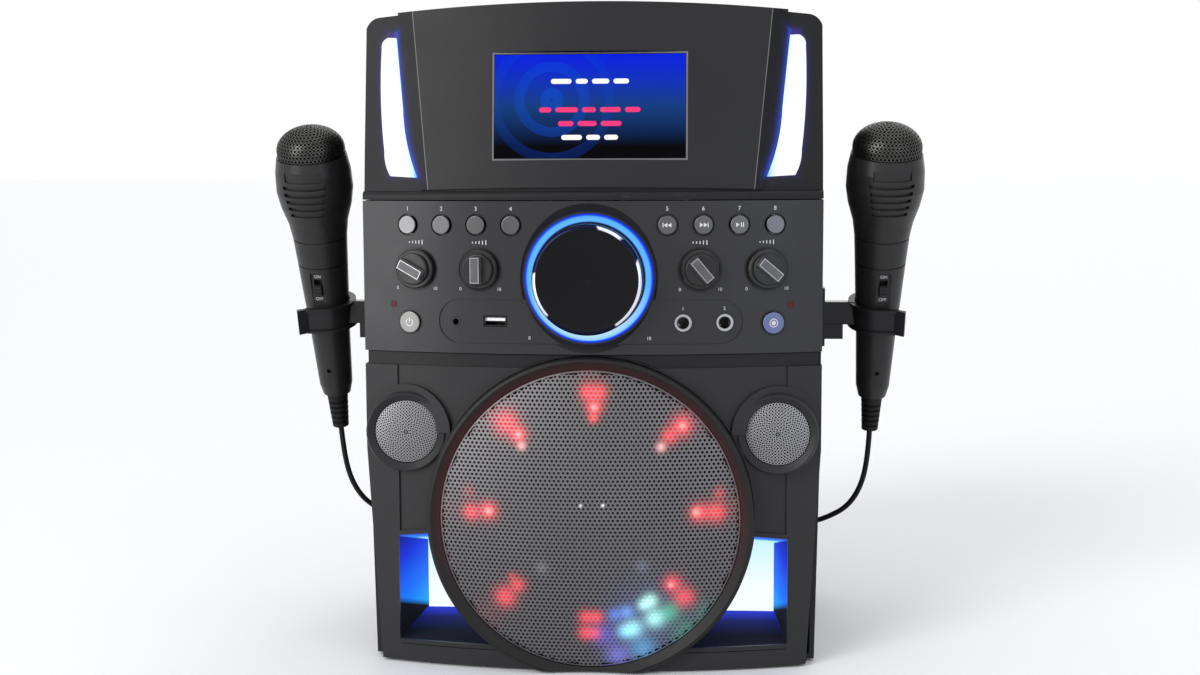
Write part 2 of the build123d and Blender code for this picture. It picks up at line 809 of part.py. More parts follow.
# ---------------------------------------------------------------- potentiometers
pot_places = [front_plane(x, knob_row) for x in knob_places] + [volume_plane]
with BuildPart() as potentiometers:
    for place in pot_places:
        pot_front = -wall - 0.2 if place is not volume_plane else -volume_dish_depth - 4.3
        add(rod(place, 8.0, pot_front - 7.0, pot_front))
        add(rod(place, shaft_radius + 0.9, pot_front, pot_front + 2.6))
        add(rod(place, shaft_radius + shaft_fit, pot_front - 5.0, pot_front + 9.0), mode=Mode.SUBTRACT)
save(potentiometers.part, "potentiometers")


# ---------------------------------------------------------------- push buttons
def push_button(x, z, radius, name):
    """Round cap on a stem with a stop flange behind the fascia."""
    place = front_plane(x, z)
    with BuildPart() as button:
        with BuildSketch(place.offset(flange_back)):
            Circle(radius)
        extrude(amount=button_proud - flange_back)
        fillet(button.faces().sort_by(axis_of(place))[-1].edges(), 0.5)
        with BuildSketch(place.offset(flange_back)):
            Circle(radius + 1.4)
        extrude(amount=flange_front - flange_back)
    save(button.part, name)


for number, x in enumerate(button_places, start=1):
    push_button(x, button_row, button_radius, f"button_{number}")
push_button(-key_x, key_row, key_radius, "power_button")
push_button(key_x, key_row, key_radius, "record_button")


# ---------------------------------------------------------------- small knobs
def small_knob(x, angle, name):
    """Skirted knob with a pointer bar, turned to the angle that it rests at."""
    place = front_plane(x, knob_row)
    with BuildPart() as knob:
        with BuildSketch(place.offset(0.6)):
            Circle(knob_radius)
        extrude(amount=3.4)
        chamfer(knob.faces().sort_by(axis_of(place))[-1].edges(), 0.8)
        with BuildSketch(place.offset(3.0)):
            Circle(knob_radius - 2.2)
        extrude(amount=3.4)
        fillet(knob.faces().sort_by(axis_of(place))[-1].edges(), 1.0)
        with BuildSketch(place.offset(5.0)):
            with Locations(Rotation(0, 0, angle)):
                Rectangle(6.6, 2 * knob_radius - 7.0)
        extrude(amount=knob_height - 5.0, taper=6.0)
        with BuildSketch(place.offset(1.0)):
            Circle(shaft_radius)
        extrude(amount=-wall - 5.5)
    save(knob.part, name)


for x, angle, name in (
    (-outer_knob_x, 62.0, "knob_1"),
    (-inner_knob_x, 0.0, "knob_2"),
    (inner_knob_x, 40.0, "knob_3"),
    (outer_knob_x, 50.0, "knob_4"),
):
    small_knob(x, angle, name)

# ---------------------------------------------------------------- master volume knob
face_radius = volume_radius - 3.4
face_hollow = 1.7
face_ball = dome_radius(face_radius, face_hollow)
with BuildPart() as master_volume_knob:
    with BuildSketch(axial(volume_plane)):
        with BuildLine():
            Line((0, -volume_dish_depth + 1.0), (volume_radius, -volume_dish_depth + 1.0))
            Line((volume_radius, -volume_dish_depth + 1.0), (volume_radius, volume_reach - 3.0))
            ThreePointArc(
                (volume_radius, volume_reach - 3.0),
                (volume_radius - 0.7, volume_reach - 0.9),
                (volume_radius - 2.6, volume_reach),
            )
            Line((volume_radius - 2.6, volume_reach), (face_radius, volume_reach - 0.6))
            ThreePointArc(
                (face_radius, volume_reach - 0.6),
                (face_radius / 2, volume_reach - 0.6 - face_hollow + sag(face_ball, face_radius / 2)),
                (0, volume_reach - 0.6 - face_hollow),
            )
            Line((0, volume_reach - 0.6 - face_hollow), (0, -volume_dish_depth + 1.0))
        make_face()
    revolve(axis=axis_of(volume_plane))
    add(rod(volume_plane, shaft_radius, -volume_dish_depth - 8.5, 0))
save(master_volume_knob.part, "master_volume_knob")


# ---------------------------------------------------------------- screen head
def head_block(inset, low):
    """The head moulding's outside moved in by inset: tilted front and a rolled lower lip."""
    with BuildPart() as block:
        add(body_block(inset, low, above, 0, head_split))
        add(tilted_block(inset), mode=Mode.INTERSECT)
    return block.part


def window_sketch(side, grow):
    """Outline of a side light, in the head's flat plane."""
    edge = body_width / 2
    with BuildSketch() as outline:
        with BuildLine():
            ThreePointArc((edge - 33.4, 8.6), (edge - 27.0, 28.0), (edge - 24.1, 50.0))
            Line((edge - 24.1, 50.0), (edge - 19.8, 91.8))
            Line((edge - 19.8, 91.8), (edge - 14.5, 92.3))
            ThreePointArc((edge - 14.5, 92.3), (edge - 11.4, 90.4), (edge - 10.2, 86.0))
            ThreePointArc((edge - 10.2, 86.0), (edge - 10.0, 55.0), (edge - 12.4, 25.0))
            ThreePointArc((edge - 12.4, 25.0), (edge - 13.6, 16.0), (edge - 16.2, 10.2))
            Line((edge - 16.2, 10.2), (edge - 33.4, 8.6))
        make_face()
        if grow:
            offset(amount=grow)
        if side < 0:
            mirror(about=Plane.YZ, mode=Mode.REPLACE)
    return outline.sketch


def rolled_lip():
    """Band under the head's front whose upper edge rolls back to the tilted face."""
    with BuildPart() as lip:
        add(body_block(0, head_bottom, lip_high, 0, head_split))
        lip_front = lip.faces().filter_by(GeomType.CYLINDER).sort_by(Axis.Y)[0]
        fillet(lip_front.edges().sort_by(Axis.Z)[-1], 3.6)
    return lip.part


lip_high = head_bottom + 5.0
cover_low = 1.2
cover_foot = body_width / 2 - 35.4
cover_top = body_width / 2 - 18.6
cover_length = 120.0
with BuildPart() as head_cavity:
    add(body_block(wall, head_bottom + wall, above, 0, head_split + 1))
    add(tilted_block(wall), mode=Mode.INTERSECT)
with BuildPart() as screen_head:
    add(head_block(0, head_bottom))
    add(rolled_lip())
    add(head_cavity.part, mode=Mode.SUBTRACT)
    # Screen opening.
    with BuildSketch(head_plane.offset(-front_radius / 10)):
        with Locations((0, screen_rise)):
            Rectangle(screen_width + 1.0, screen_height + 1.0)
    extrude(amount=front_radius / 10 + 9, mode=Mode.SUBTRACT)
    # Openings of the side lights.
    for side in (-1, 1):
        with BuildSketch(head_plane.offset(-front_radius / 10)):
            add(window_sketch(side, 0))
        extrude(amount=front_radius / 10 + 9, mode=Mode.SUBTRACT)
save(screen_head.part, "screen_head")

# ---------------------------------------------------------------- raised cover over the head's middle
with BuildPart() as screen_cover:
    add(head_block(-cover_thickness, head_bottom))
    add(head_block(0, 0), mode=Mode.SUBTRACT)
    with BuildSketch(head_plane.offset(-body_depth / 2)):
        Polygon(
            (-cover_foot, cover_low),
            (cover_foot, cover_low),
            (cover_top, cover_length),
            (-cover_top, cover_length),
            align=None,
        )
    extrude(amount=body_depth, mode=Mode.INTERSECT)
    with BuildSketch(head_plane.offset(-front_radius / 10)):
        with Locations((0, screen_rise)):
            Rectangle(screen_width, screen_height)
    extrude(amount=front_radius / 10 + 9, mode=Mode.SUBTRACT)
save(screen_cover.part, "screen_cover")

# ---------------------------------------------------------------- screen bezel and display
bezel_front = -2.5
glass_front = -3.3
module_front = -7.9
with BuildPart() as screen_bezel:
    with BuildSketch(head_plane.offset(glass_front)):
        with Locations((0, screen_rise)):
            Rectangle(screen_width - 0.3, screen_height - 0.3)
            Rectangle(
                screen_width - 2 * screen_border, screen_height - 2 * screen_border, mode=Mode.SUBTRACT
            )
    extrude(amount=bezel_front - glass_front)
save(screen_bezel.part, "screen_bezel")

with BuildPart() as display:
    with BuildSketch(head_plane.offset(module_front)):
        with Locations((0, screen_rise)):
            Rectangle(screen_width - 0.6, screen_height - 0.6)
    extrude(amount=glass_front - module_front)
    with BuildSketch(head_plane.offset(module_front)):
        with Locations((0, screen_rise)):
            Rectangle(screen_width + 10.0, screen_height + 8.0)
    extrude(amount=-display_thickness)
save(display.part, "display")


# ---------------------------------------------------------------- side lights of the head
def window_lens(side):
    """Clear cover of a side light, a little proud of the head."""
    with BuildPart() as lens:
        add(head_block(-0.3, head_bottom))
        add(head_block(wall - 0.6, 0), mode=Mode.SUBTRACT)
        with BuildSketch(head_plane.offset(-front_radius / 10)):
            add(window_sketch(side, -0.25))
        extrude(amount=front_radius / 10 + 9, mode=Mode.INTERSECT)
    return lens.part


with BuildPart() as head_light_windows:
    for side in (-1, 1):
        add(window_lens(side))
save(head_light_windows.part, "head_light_windows")

# ---------------------------------------------------------------- main board and transformer
board_gap = 10.0
main_board_face = rear_panel_depth - rear_panel_thickness - board_gap
transformer_x = 66.0
with BuildPart() as main_board:
    with BuildSketch(facing(main_board_face)):
        with Locations((0, 205.0)):
            Rectangle(160.0, 96.0)
    extrude(amount=board_thickness)
    for post_x in (-74.0, 74.0):
        for post_z in (163.0, 247.0):
            with BuildSketch(facing(main_board_face)):
                with Locations((post_x, post_z)):
                    Circle(3.0)
            extrude(amount=-board_gap)
    # Heat sink and reservoir capacitors.
    with BuildSketch(facing(main_board_face - board_thickness)):
        with Locations((40.0, 215.0)):
            Rectangle(50.0, 30.0)
    extrude(amount=18.0)
    for capacitor_x in (-50.0, -28.0):
        with BuildSketch(facing(main_board_face - board_thickness)):
            with Locations((capacitor_x, 225.0)):
                Circle(8.0)
        extrude(amount=25.0)
    # Mains transformer on the cabinet floor.
    with Locations((transformer_x, front_y + body_depth - 47.0, floor_gap + wall)):
        Box(58.0, 30.0, 48.0, align=(Align.CENTER, Align.CENTER, Align.MIN))
        Box(30.0, 48.0, 34.0, align=(Align.CENTER, Align.CENTER, Align.MIN))
save(main_board.part, "main_board")

# ---------------------------------------------------------------- feet and rear screws
foot_x = body_width / 2 - 35.0
foot_near = 52.0
with BuildPart() as feet:
    for foot_depth in (foot_near, body_depth - 19.0):
        for side in (-1, 1):
            with Locations((side * foot_x, front_y + foot_depth, 0)):
                Cylinder(9.0, floor_gap, align=(Align.CENTER, Align.CENTER, Align.MIN))
save(feet.part, "feet")

screw_x = rear_hole_width / 2 + 3.0
with BuildPart() as screws:
    for side in (-1, 1):
        for screw_z in (rear_hole_low + 16.0, rear_hole_middle, rear_hole_high - 16.0):
            with BuildSketch(facing(body_depth)):
                with Locations((side * screw_x, screw_z)):
                    Circle(2.9)
            extrude(amount=-screw_head)
save(screws.part, "screws")

# ---------------------------------------------------------------- disc tray under the lid
tray_half_width = lid_half_width + 17.0
tray_near = lid_near - 6.0
tray_far = hinge_depth - 1.0
tray_middle = (tray_near + tray_far) / 2
swing_room = 1.7
drive_half = 46.0
drive_top = drive_height + 2.0
slot_near = platter_radius + 4.5
slot_far = dish_radius - 0.5
with BuildPart() as disc_tray:
    with BuildSketch(Plane.XY.offset(dish_rim - dish_wall)):
        with Locations((0, front_y + tray_middle)):
            Rectangle(2 * tray_half_width, tray_far - tray_near)
    extrude(amount=dish_wall)
    # Room for the lid's hinge knuckles.
    for side in (-1, 1):
        with Locations((side * (lid_half_width + 2.0), front_y + hinge_depth + 2.0, dish_rim)):
            Box(24.0, 18.0, 4 * dish_wall, mode=Mode.SUBTRACT)
    add(rod(disc_plane, dish_radius + dish_wall, dish_floor - dish_wall, dish_rim))
    add(rod(disc_plane, dish_radius, dish_floor, above), mode=Mode.SUBTRACT)
    add(rod(disc_plane, platter_radius + 1.5, 0, above), mode=Mode.SUBTRACT)
    # Lowered rim under the lid's rear edge, which swings down as the lid opens.
    with Locations((0, front_y + tray_far, dish_rim - swing_room)):
        Box(2 * tray_half_width, 20.0, 10.0, align=(Align.CENTER, Align.MIN, Align.MIN), mode=Mode.SUBTRACT)
    # Slot over the laser's way.
    with Locations(((slot_near + slot_far) / 2, front_y + disc_depth, dish_floor)):
        Box(slot_far - slot_near, 12.0, 4 * dish_wall, mode=Mode.SUBTRACT)
    # Posts down to the drive.
    for post_x in (-drive_half + 4.0, drive_half - 4.0):
        for post_y in (-28.0, 28.0):
            with Locations((post_x, front_y + disc_depth + post_y, drive_top)):
                Cylinder(3.0, dish_floor - 1.0 - drive_top, align=(Align.CENTER, Align.CENTER, Align.MIN))
save(disc_tray.part, "disc_tray")

# ---------------------------------------------------------------- drive chassis, motor and rails
rail_start = 13.0
rail_end = sled_start + sled_travel + 15.0
motor_top = dish_floor - 7.0
with BuildPart() as disc_drive:
    with Locations(((rail_end - drive_half) / 2 + 1.0, front_y + disc_depth, drive_height)):
        Box(rail_end + drive_half + 2.0, 66.0, 2.0, align=(Align.CENTER, Align.CENTER, Align.MIN))
    add(rod(disc_plane, motor_radius, drive_top, motor_top))
    add(rod(disc_plane, spindle_radius + shaft_fit, drive_height + 4.0, above), mode=Mode.SUBTRACT)
    for rail_y in (-rail_spread, rail_spread):
        for block_x in (rail_start, rail_end):
            with Locations((block_x, front_y + disc_depth + rail_y, drive_top)):
                Box(3.0, 6.0, rail_height + 4.0 - drive_top, align=(Align.CENTER, Align.CENTER, Align.MIN))
        with Locations(((rail_start + rail_end) / 2, front_y + disc_depth + rail_y, rail_height)):
            Cylinder(rail_radius, rail_end - rail_start, rotation=(0, 90, 0))
save(disc_drive.part, "disc_drive")

# ---------------------------------------------------------------- turntable
with BuildPart() as turntable:
    add(rod(disc_plane, spindle_radius, drive_height + 4.5, dish_floor + 1.0))
    add(rod(disc_plane, platter_radius, dish_floor + 0.6, dish_floor + 2.0))
    add(rod(disc_plane, hub_radius, dish_floor + 2.0, dish_floor + 6.0))
    chamfer(turntable.faces().sort_by(Axis.Z)[-1].edges(), 0.8)
save(turntable.part, "turntable")

# ---------------------------------------------------------------- laser sled
with BuildPart() as laser_sled:
    with Locations((sled_start, front_y + disc_depth, rail_height)):
        Box(14.0, 2 * rail_spread + 7.0, 6.0)
        for rail_y in (-rail_spread, rail_spread):
            with Locations((0, rail_y, 0)):
                Cylinder(rail_radius + shaft_fit, 20.0, rotation=(0, 90, 0), mode=Mode.SUBTRACT)
        with Locations((0, 0, 3.0)):
            Cylinder(3.0, 7.2, align=(Align.CENTER, Align.CENTER, Align.MIN))
save(laser_sled.part, "laser_sled")

# ---------------------------------------------------------------- disc lid
with BuildPart() as disc_lid:
    add(body_block(0, head_bottom, above, head_split, body_depth))
    add(body_block(wall - 0.4, 0, above, 0, body_depth), mode=Mode.SUBTRACT)
    with Locations((0, front_y + (lid_near + lid_far) / 2, cabinet_top)):
        Box(2 * lid_half_width, lid_far - lid_near, 20.0, mode=Mode.INTERSECT)
    # Finger dip at the front edge.
    with Locations((0, front_y + lid_near, cabinet_top + 6.0)):
        Sphere(9.0, mode=Mode.SUBTRACT)
    # Knuckles and pins of the hinge.
    for side in (-1, 1):
        with Locations((side * (lid_half_width - 3.0), front_y + hinge_depth, hinge_height)):
            Box(6.0, 4.4, 4.0)
        with Locations((side * (lid_half_width + 1.0), front_y + hinge_depth, hinge_height)):
            Cylinder(hinge_pin, 8.0, rotation=(0, 90, 0))
save(disc_lid.part, "disc_lid")


# ---------------------------------------------------------------- microphones
def mic_plane(side):
    """Plane at the foot of a microphone, facing up along it, its y pointing to its back."""
    lean = radians(mic_lean)
    splay = radians(mic_splay)
    twist = radians(mic_twist) * side
    up = Vector(side * sin(splay), -sin(lean) * cos(splay), cos(lean) * cos(splay))
    across = Vector(cos(twist), sin(twist), 0)
    across = (across - up * across.dot(up)).normalized()
    return Plane(origin=(side * mic_x, front_y + mic_depth, mic_foot), x_dir=across, z_dir=up)


def name_of(side):
    """Which microphone a side holds."""
    return "mic_left" if side < 0 else "mic_right"


# Radius of the body against height above its foot.
handle_profile = (
    (0.0, boot_length),
    (8.8, boot_length),
    (10.5, boot_length + 7.0),
    (12.5, 69.0),
    (14.05, 90.0),
    (15.6, 114.0),
    (16.8, 131.0),
    (18.4, 141.0),
    (21.8, 152.0),
    (23.6, 162.0),
    (23.2, 174.0),
    (21.6, 183.0),
    (0.0, 183.0),
)
# Each cut in the grip: its low edge above the foot, its height, the radius of its floor, its width.
grip_cuts = (
    (149.3, 2.2, 19.6, 21.0),
    (153.7, 2.2, 20.6, 22.5),
    (158.1, 2.2, 21.4, 24.0),
    (162.5, 2.2, 21.8, 25.5),
    (166.9, 2.2, 21.8, 27.0),
    (171.6, 6.0, 22.4, 23.0),
)
ball_foot = 183.3
ball_radius = 20.9
ball_shoulder = 187.0
ball_top = 202.0

for side in (-1, 1):
    foot = mic_plane(side)
    name = name_of(side)
    face = Plane(origin=foot.origin, x_dir=foot.x_dir, z_dir=-foot.y_dir)

    with BuildPart() as mic_body:
        with BuildSketch(axial(foot)):
            with BuildLine():
                Polyline(*handle_profile, close=True)
            make_face()
        revolve(axis=axis_of(foot))
        # Two seams round the handle.
        for seam_height in (114.0, 131.0):
            with BuildSketch(foot.offset(seam_height - 0.4)):
                Circle(24.0)
                Circle(14.9 if seam_height < 120.0 else 16.1, mode=Mode.SUBTRACT)
            extrude(amount=0.8, mode=Mode.SUBTRACT)
        # Sunk switch plate and its slot.
        with BuildSketch(face.offset(13.2)):
            with Locations((0, switch_middle)):
                RectangleRounded(switch_width, switch_length, 1.2)
        extrude(amount=9.0, mode=Mode.SUBTRACT)
        with BuildSketch(face.offset(9.0)):
            with Locations((0, switch_middle)):
                Rectangle(slider_width + 0.6, slider_length + switch_travel + 0.8)
        extrude(amount=9.0, mode=Mode.SUBTRACT)
        # Grooves of the finger grip round the front of the head, and a bare sunk plate over them.
        for grip_height, cut_height, grip_floor, grip_width in grip_cuts:
            with BuildSketch(foot.offset(grip_height)):
                with Locations((0, -22.0)):
                    Rectangle(grip_width, 24.0)
                Circle(grip_floor, mode=Mode.SUBTRACT)
            extrude(amount=cut_height, mode=Mode.SUBTRACT)
        # Blind screw hole near the foot.
        with BuildSketch(face.offset(8.5)):
            with Locations((0, 43.0)):
                Circle(1.5)
        extrude(amount=9.0, mode=Mode.SUBTRACT)
    save(mic_body.part, f"{name}_body")

    with BuildPart() as mic_grille:
        with BuildSketch(axial(foot)):
            with BuildLine():
                Polyline(
                    (0, ball_top), (0, ball_foot), (ball_radius, ball_foot), (ball_radius, ball_shoulder)
                )
                RadiusArc((ball_radius, ball_shoulder), (8.0, ball_top - 0.6), -19.0)
                Line((8.0, ball_top - 0.6), (0, ball_top))
            make_face()
        revolve(axis=axis_of(foot))
    save(mic_grille.part, f"{name}_grille")

    slider_low = switch_middle - (slider_length + switch_travel) / 2
    with BuildPart() as mic_switch:
        with BuildSketch(face.offset(9.3)):
            with Locations((0, slider_low + slider_length / 2)):
                Rectangle(slider_width, slider_length)
        extrude(amount=5.8)
        # Thumb ridges.
        for ridge in (-2.2, 0.0, 2.2):
            with BuildSketch(face.offset(14.9)):
                with Locations((0, slider_low + slider_length / 2 + ridge)):
                    Rectangle(slider_width, 1.0)
            extrude(amount=0.7)
    save(mic_switch.part, f"{name}_switch")

    with BuildPart() as mic_boot:
        boot_line = boot_length - 3.0
        boot_side = [(boot_tip, 0), (boot_top, boot_line), (boot_top, boot_length)]
        add(turned(foot, [(0, 0), *boot_side, (0, boot_length)]))
        # Ribs of the strain relief.
        for rib in range(5):
            with BuildSketch(foot.offset(3.0 + 3.6 * rib)):
                Circle(boot_top + 1.0)
                Circle(boot_tip - 1.0 + 0.25 * rib, mode=Mode.SUBTRACT)
            extrude(amount=1.5, mode=Mode.SUBTRACT)
    save(mic_boot.part, f"{name}_boot")


# ---------------------------------------------------------------- clips on the cabinet's sides
def mic_clip(side):
    """Spring collar open to the outside, with flared tips, on an arm from the cabinet's side."""
    foot = mic_plane(side)
    outward = Vector(side, 0, 0)
    outward = (outward - foot.z_dir * outward.dot(foot.z_dir)).normalized()
    clip_plane = Plane(
        origin=foot.origin + foot.z_dir * (clip_middle - clip_height / 2), x_dir=outward, z_dir=foot.z_dir
    )
    arm_depth = mic_depth - clip_middle * sin(radians(mic_lean))
    arm_z = mic_foot + clip_middle * cos(radians(mic_lean))
    with BuildPart() as clip:
        # Collar with a thin rim along both edges.
        rim_top = clip_height - rim_height
        for low, height, rim in ((0, clip_height, 0), (0, rim_height, 1.4), (rim_top, rim_height, 1.4)):
            with BuildSketch(clip_plane.offset(low)):
                Circle(clip_bore + clip_wall + rim)
                with Locations((mouth_start / 2, 0)):
                    Rectangle(mouth_start, 2 * (clip_bore + clip_wall + rim))
            extrude(amount=height)
        # Flared tips of the mouth.
        with BuildSketch(clip_plane):
            for edge in (-1, 1):
                Polygon(
                    (mouth_start - 1.0, edge * clip_bore),
                    (mouth_start - 1.0, edge * (clip_bore + clip_wall)),
                    (mouth_end - 0.8, edge * (clip_bore + clip_wall + 3.4)),
                    (mouth_end, edge * (clip_bore + 2.8)),
                    align=None,
                )
        extrude(amount=clip_height)
        # Arm, lower lug and mounting plate at the cabinet's side.
        with Locations((side * (body_width / 2 + 6.0), front_y + arm_depth, arm_z)):
            Box(36.0, 13.0, 14.0)
            with Locations((0, 0, -11.5)):
                Box(22.0, 15.0, 9.0)
        with Locations((side * (body_width / 2 + 1.5), front_y + arm_depth, arm_z - 2.0)):
            Box(8.0, 24.0, 36.0)
        # Room for the handle and a clear way out of the mouth.
        add(rod(clip_plane, clip_bore, -30.0, clip_height + 30.0), mode=Mode.SUBTRACT)
        with BuildSketch(clip_plane.offset(-30.0)):
            with Locations((25.0, 0)):
                Rectangle(50.0, 2 * clip_bore)
        extrude(amount=clip_height + 60.0, mode=Mode.SUBTRACT)
        add(body_block(0, 0, above, 0, body_depth), mode=Mode.SUBTRACT)
    return clip.part


rim_height = 1.6
mouth_start = 10.0
mouth_end = 15.8
with BuildPart() as mic_clips:
    for side in (-1, 1):
        add(mic_clip(side))
save(mic_clips.part, "mic_clips")

# ---------------------------------------------------------------- cords, coils and plugs
# The free stretch of the right cord below the boot: past the cabinet's side, past its rear, height.
cord_points = (
    (33.6, -66.4, 88.5),
    (25.5, -58.5, 72.5),
    (12.5, -45.0, 62.0),
    (2.0, -24.0, 54.0),
    (-3.0, 2.0, 44.0),
    (-6.5, 27.0, 29.0),
    (-8.0, 49.0, 13.5),
    (-15.5, 67.5, 4.2),
)
cord_floor = cord_radius + 0.05
coil_outer = coil_mean_radius + coil_pitch * layer_quarters / 8


def cord_route(side):
    """Corner points of a free cord from the microphone's foot to the start of its coil."""
    foot = mic_plane(side)
    coil_y = front_y + coil_depth + coil_outer
    points = [foot.origin, foot.origin - foot.z_dir * 20.0]
    for past_side, past_rear, height in cord_points:
        points.append(Vector(side * (body_width / 2 + past_side), front_y + body_depth + past_rear, height))
    points.append(Vector(side * (coil_x + cord_diameter + 14.0), coil_y, cord_floor))
    points.append(Vector(side * (coil_x + cord_diameter), coil_y, cord_floor))
    return points


def bend_radii(points):
    """The largest arc that each corner's runs allow."""
    radii = []
    for before, corner, after in zip(points, points[1:], points[2:]):
        arriving = corner - before
        leaving = after - corner
        half_turn = radians(arriving.get_angle(leaving)) / 2
        radii.append(0.45 * min(arriving.length, leaving.length) / tan(half_turn))
    return radii


def coil_stations(side):
    """Points and directions every quarter turn of the coil: in on the floor, out one layer up."""
    stations = []
    last = 2 * layer_quarters + climb_quarters
    for quarter in range(last + 1):
        inward = min(quarter, layer_quarters) - max(quarter - layer_quarters - climb_quarters, 0)
        climbed = min(max(quarter - layer_quarters, 0), climb_quarters)
        radius = coil_outer - coil_pitch * inward / 4
        height = cord_floor + coil_pitch * climbed / climb_quarters
        turn = pi / 2 * (quarter + 1)
        spiral = 0.0
        if 0 < quarter < layer_quarters:
            spiral = -coil_pitch / 2 / pi
        if layer_quarters + climb_quarters < quarter < last:
            spiral = coil_pitch / 2 / pi
        slope = 0.0
        if layer_quarters < quarter < layer_quarters + climb_quarters:
            slope = coil_pitch / (pi / 2)
        along = Vector(
            spiral * cos(turn) - radius * sin(turn), spiral * sin(turn) + radius * cos(turn), slope
        )
        point = Vector(
            side * (coil_x + radius * cos(turn)), front_y + coil_depth + radius * sin(turn), height
        )
        stations.append((point, Vector(side * along.X, along.Y, along.Z).normalized()))
    return stations


def biarc_joint(start, start_way, end, end_way):
    """Middle point of the two arcs between two stations, and the direction there."""
    chord = end - start
    ways = start_way + end_way
    square = 2 * (1 - start_way.dot(end_way))
    reach = (sqrt(chord.dot(ways) ** 2 + square * chord.dot(chord)) - chord.dot(ways)) / square
    middle = (start + end + (start_way - end_way) * reach) * 0.5
    way = (end - end_way * reach - start - start_way * reach).normalized()
    return middle, way


def least_gap(line, length):
    """Least clear distance between turns of a wound cord, measured on points along it."""
    count = 900
    points = [line.position_at(i / count) for i in range(count + 1)]
    away = int(count * pi * cord_diameter * 1.4 / length) + 1
    nearest = length
    for i in range(0, count + 1):
        for j in range(i + away, count + 1):
            apart = abs(points[i].X - points[j].X) + abs(points[i].Y - points[j].Y)
            if apart < 3 * cord_diameter:
                nearest = min(nearest, (points[i] - points[j]).length)
    return nearest - cord_diameter


handle_start = 22.0
handle_end = handle_start + 26.0
tip = handle_end + 31.6
for side in (-1, 1):
    name = name_of(side)
    route = cord_route(side)
    radii = bend_radii(route)
    with BuildPart() as cord:
        with BuildLine() as cord_line:
            FilletPolyline(*route, radius=radii)
        with BuildSketch(Plane(origin=route[0], z_dir=route[1] - route[0])):
            Circle(cord_radius)
        sweep(path=cord_line.wires()[0])
    save(cord.part, f"{name}_cord")
    free_length = cord_line.wires()[0].length
    print(name, "cord radii", [round(radius, 1) for radius in radii])
    print(name, "free length", round(free_length, 1), "volume share",
          round(cord.part.volume / (pi * cord_radius**2 * free_length), 4))

    stations = coil_stations(side)
    with BuildPart() as coil:
        with BuildLine() as coil_line:
            start, way = stations[0]
            Line(start - way * cord_diameter, start)
            for (start, start_way), (end, end_way) in zip(stations, stations[1:]):
                middle, way = biarc_joint(start, start_way, end, end_way)
                TangentArc(start, middle, tangent=start_way)
                TangentArc(middle, end, tangent=way)
            end, way = stations[-1]
            Line(end, end + way * cord_diameter)
        start, way = stations[0]
        with BuildSketch(Plane(origin=start - way * cord_diameter, z_dir=way)):
            Circle(cord_radius)
        sweep(path=coil_line.wires()[0])
    save(coil.part, f"{name}_coil")
    coil_length = coil_line.wires()[0].length
    print(name, "coil length", round(coil_length, 1), "turns", (2 * layer_quarters + climb_quarters) / 4,
          "least gap", round(least_gap(coil_line.wires()[0], coil_length), 2))

    end, way = stations[-1]
    plug_end = Plane(origin=end + way * cord_diameter, z_dir=way)
    with BuildPart() as plug:
        add(
            turned(
                plug_end,
                [
                    (0, 0),
                    (cord_radius + 0.3, 0),
                    (plug_handle - 1.4, handle_start),
                    (plug_handle, handle_start + 1.0),
                    (plug_handle, handle_end),
                    (plug_handle - 1.6, handle_end + 1.0),
                    (plug_shaft, handle_end + 1.0),
                    (plug_shaft, tip - 4.6),
                    (plug_shaft - 1.0, tip - 3.2),
                    (plug_shaft - 0.2, tip - 2.0),
                    (0.8, tip),
                    (0, tip),
                ],
            )
        )
    save(plug.part, f"{name}_plug")
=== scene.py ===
from math import asin, ceil, cos, pi, radians, sin, sqrt

import bpy
from mathutils import Matrix, Vector


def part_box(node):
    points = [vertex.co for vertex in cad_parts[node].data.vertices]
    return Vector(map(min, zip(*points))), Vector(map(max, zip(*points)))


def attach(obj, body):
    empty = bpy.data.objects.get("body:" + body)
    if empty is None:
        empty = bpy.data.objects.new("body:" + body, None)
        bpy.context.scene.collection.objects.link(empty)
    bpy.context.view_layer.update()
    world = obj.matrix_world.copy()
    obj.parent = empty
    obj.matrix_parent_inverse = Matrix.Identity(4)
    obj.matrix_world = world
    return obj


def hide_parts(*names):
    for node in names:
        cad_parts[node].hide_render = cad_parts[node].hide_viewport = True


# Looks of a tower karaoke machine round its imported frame. Metres, +Z up, the front faces -Y.
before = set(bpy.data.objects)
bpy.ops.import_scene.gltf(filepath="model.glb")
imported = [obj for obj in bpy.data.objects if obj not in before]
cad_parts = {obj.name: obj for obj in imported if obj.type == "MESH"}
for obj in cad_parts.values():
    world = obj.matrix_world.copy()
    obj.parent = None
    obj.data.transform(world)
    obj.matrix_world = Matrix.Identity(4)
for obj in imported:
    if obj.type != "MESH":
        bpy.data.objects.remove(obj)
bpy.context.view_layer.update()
MM = 0.001

# ---- places on the object
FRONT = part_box("control_fascia")[0].y
FRONT_RADIUS = 430 * MM
WOOFER_Z = 91.5 * MM
TWEETER_X, TWEETER_DEPTH, TWEETER_Z = 109.2 * MM, 14.1 * MM, 140.85 * MM
HEAD_TILT = radians(7.45)
HEAD_FOOT = Vector((0, FRONT + 5.4 * MM, 283 * MM))
SCREEN_RISE = 48.6 * MM
VOLUME_ROW = 232.2 * MM
BUTTON_ROW = 262.8 * MM
KNOB_ROW = 237.1 * MM
SOCKET_ROW = 206.5 * MM
KEY_ROW = 205.8 * MM
BUTTON_X = sorted(side * (45.0 + 20.6 * index) * MM for side in (-1, 1) for index in range(4))
KNOB_X = (-102.0 * MM, -63.7 * MM, 63.7 * MM, 102.0 * MM)
KNOB_TURNS = (62.0, 0.0, 40.0, 50.0)
KEY_X = 106.0 * MM
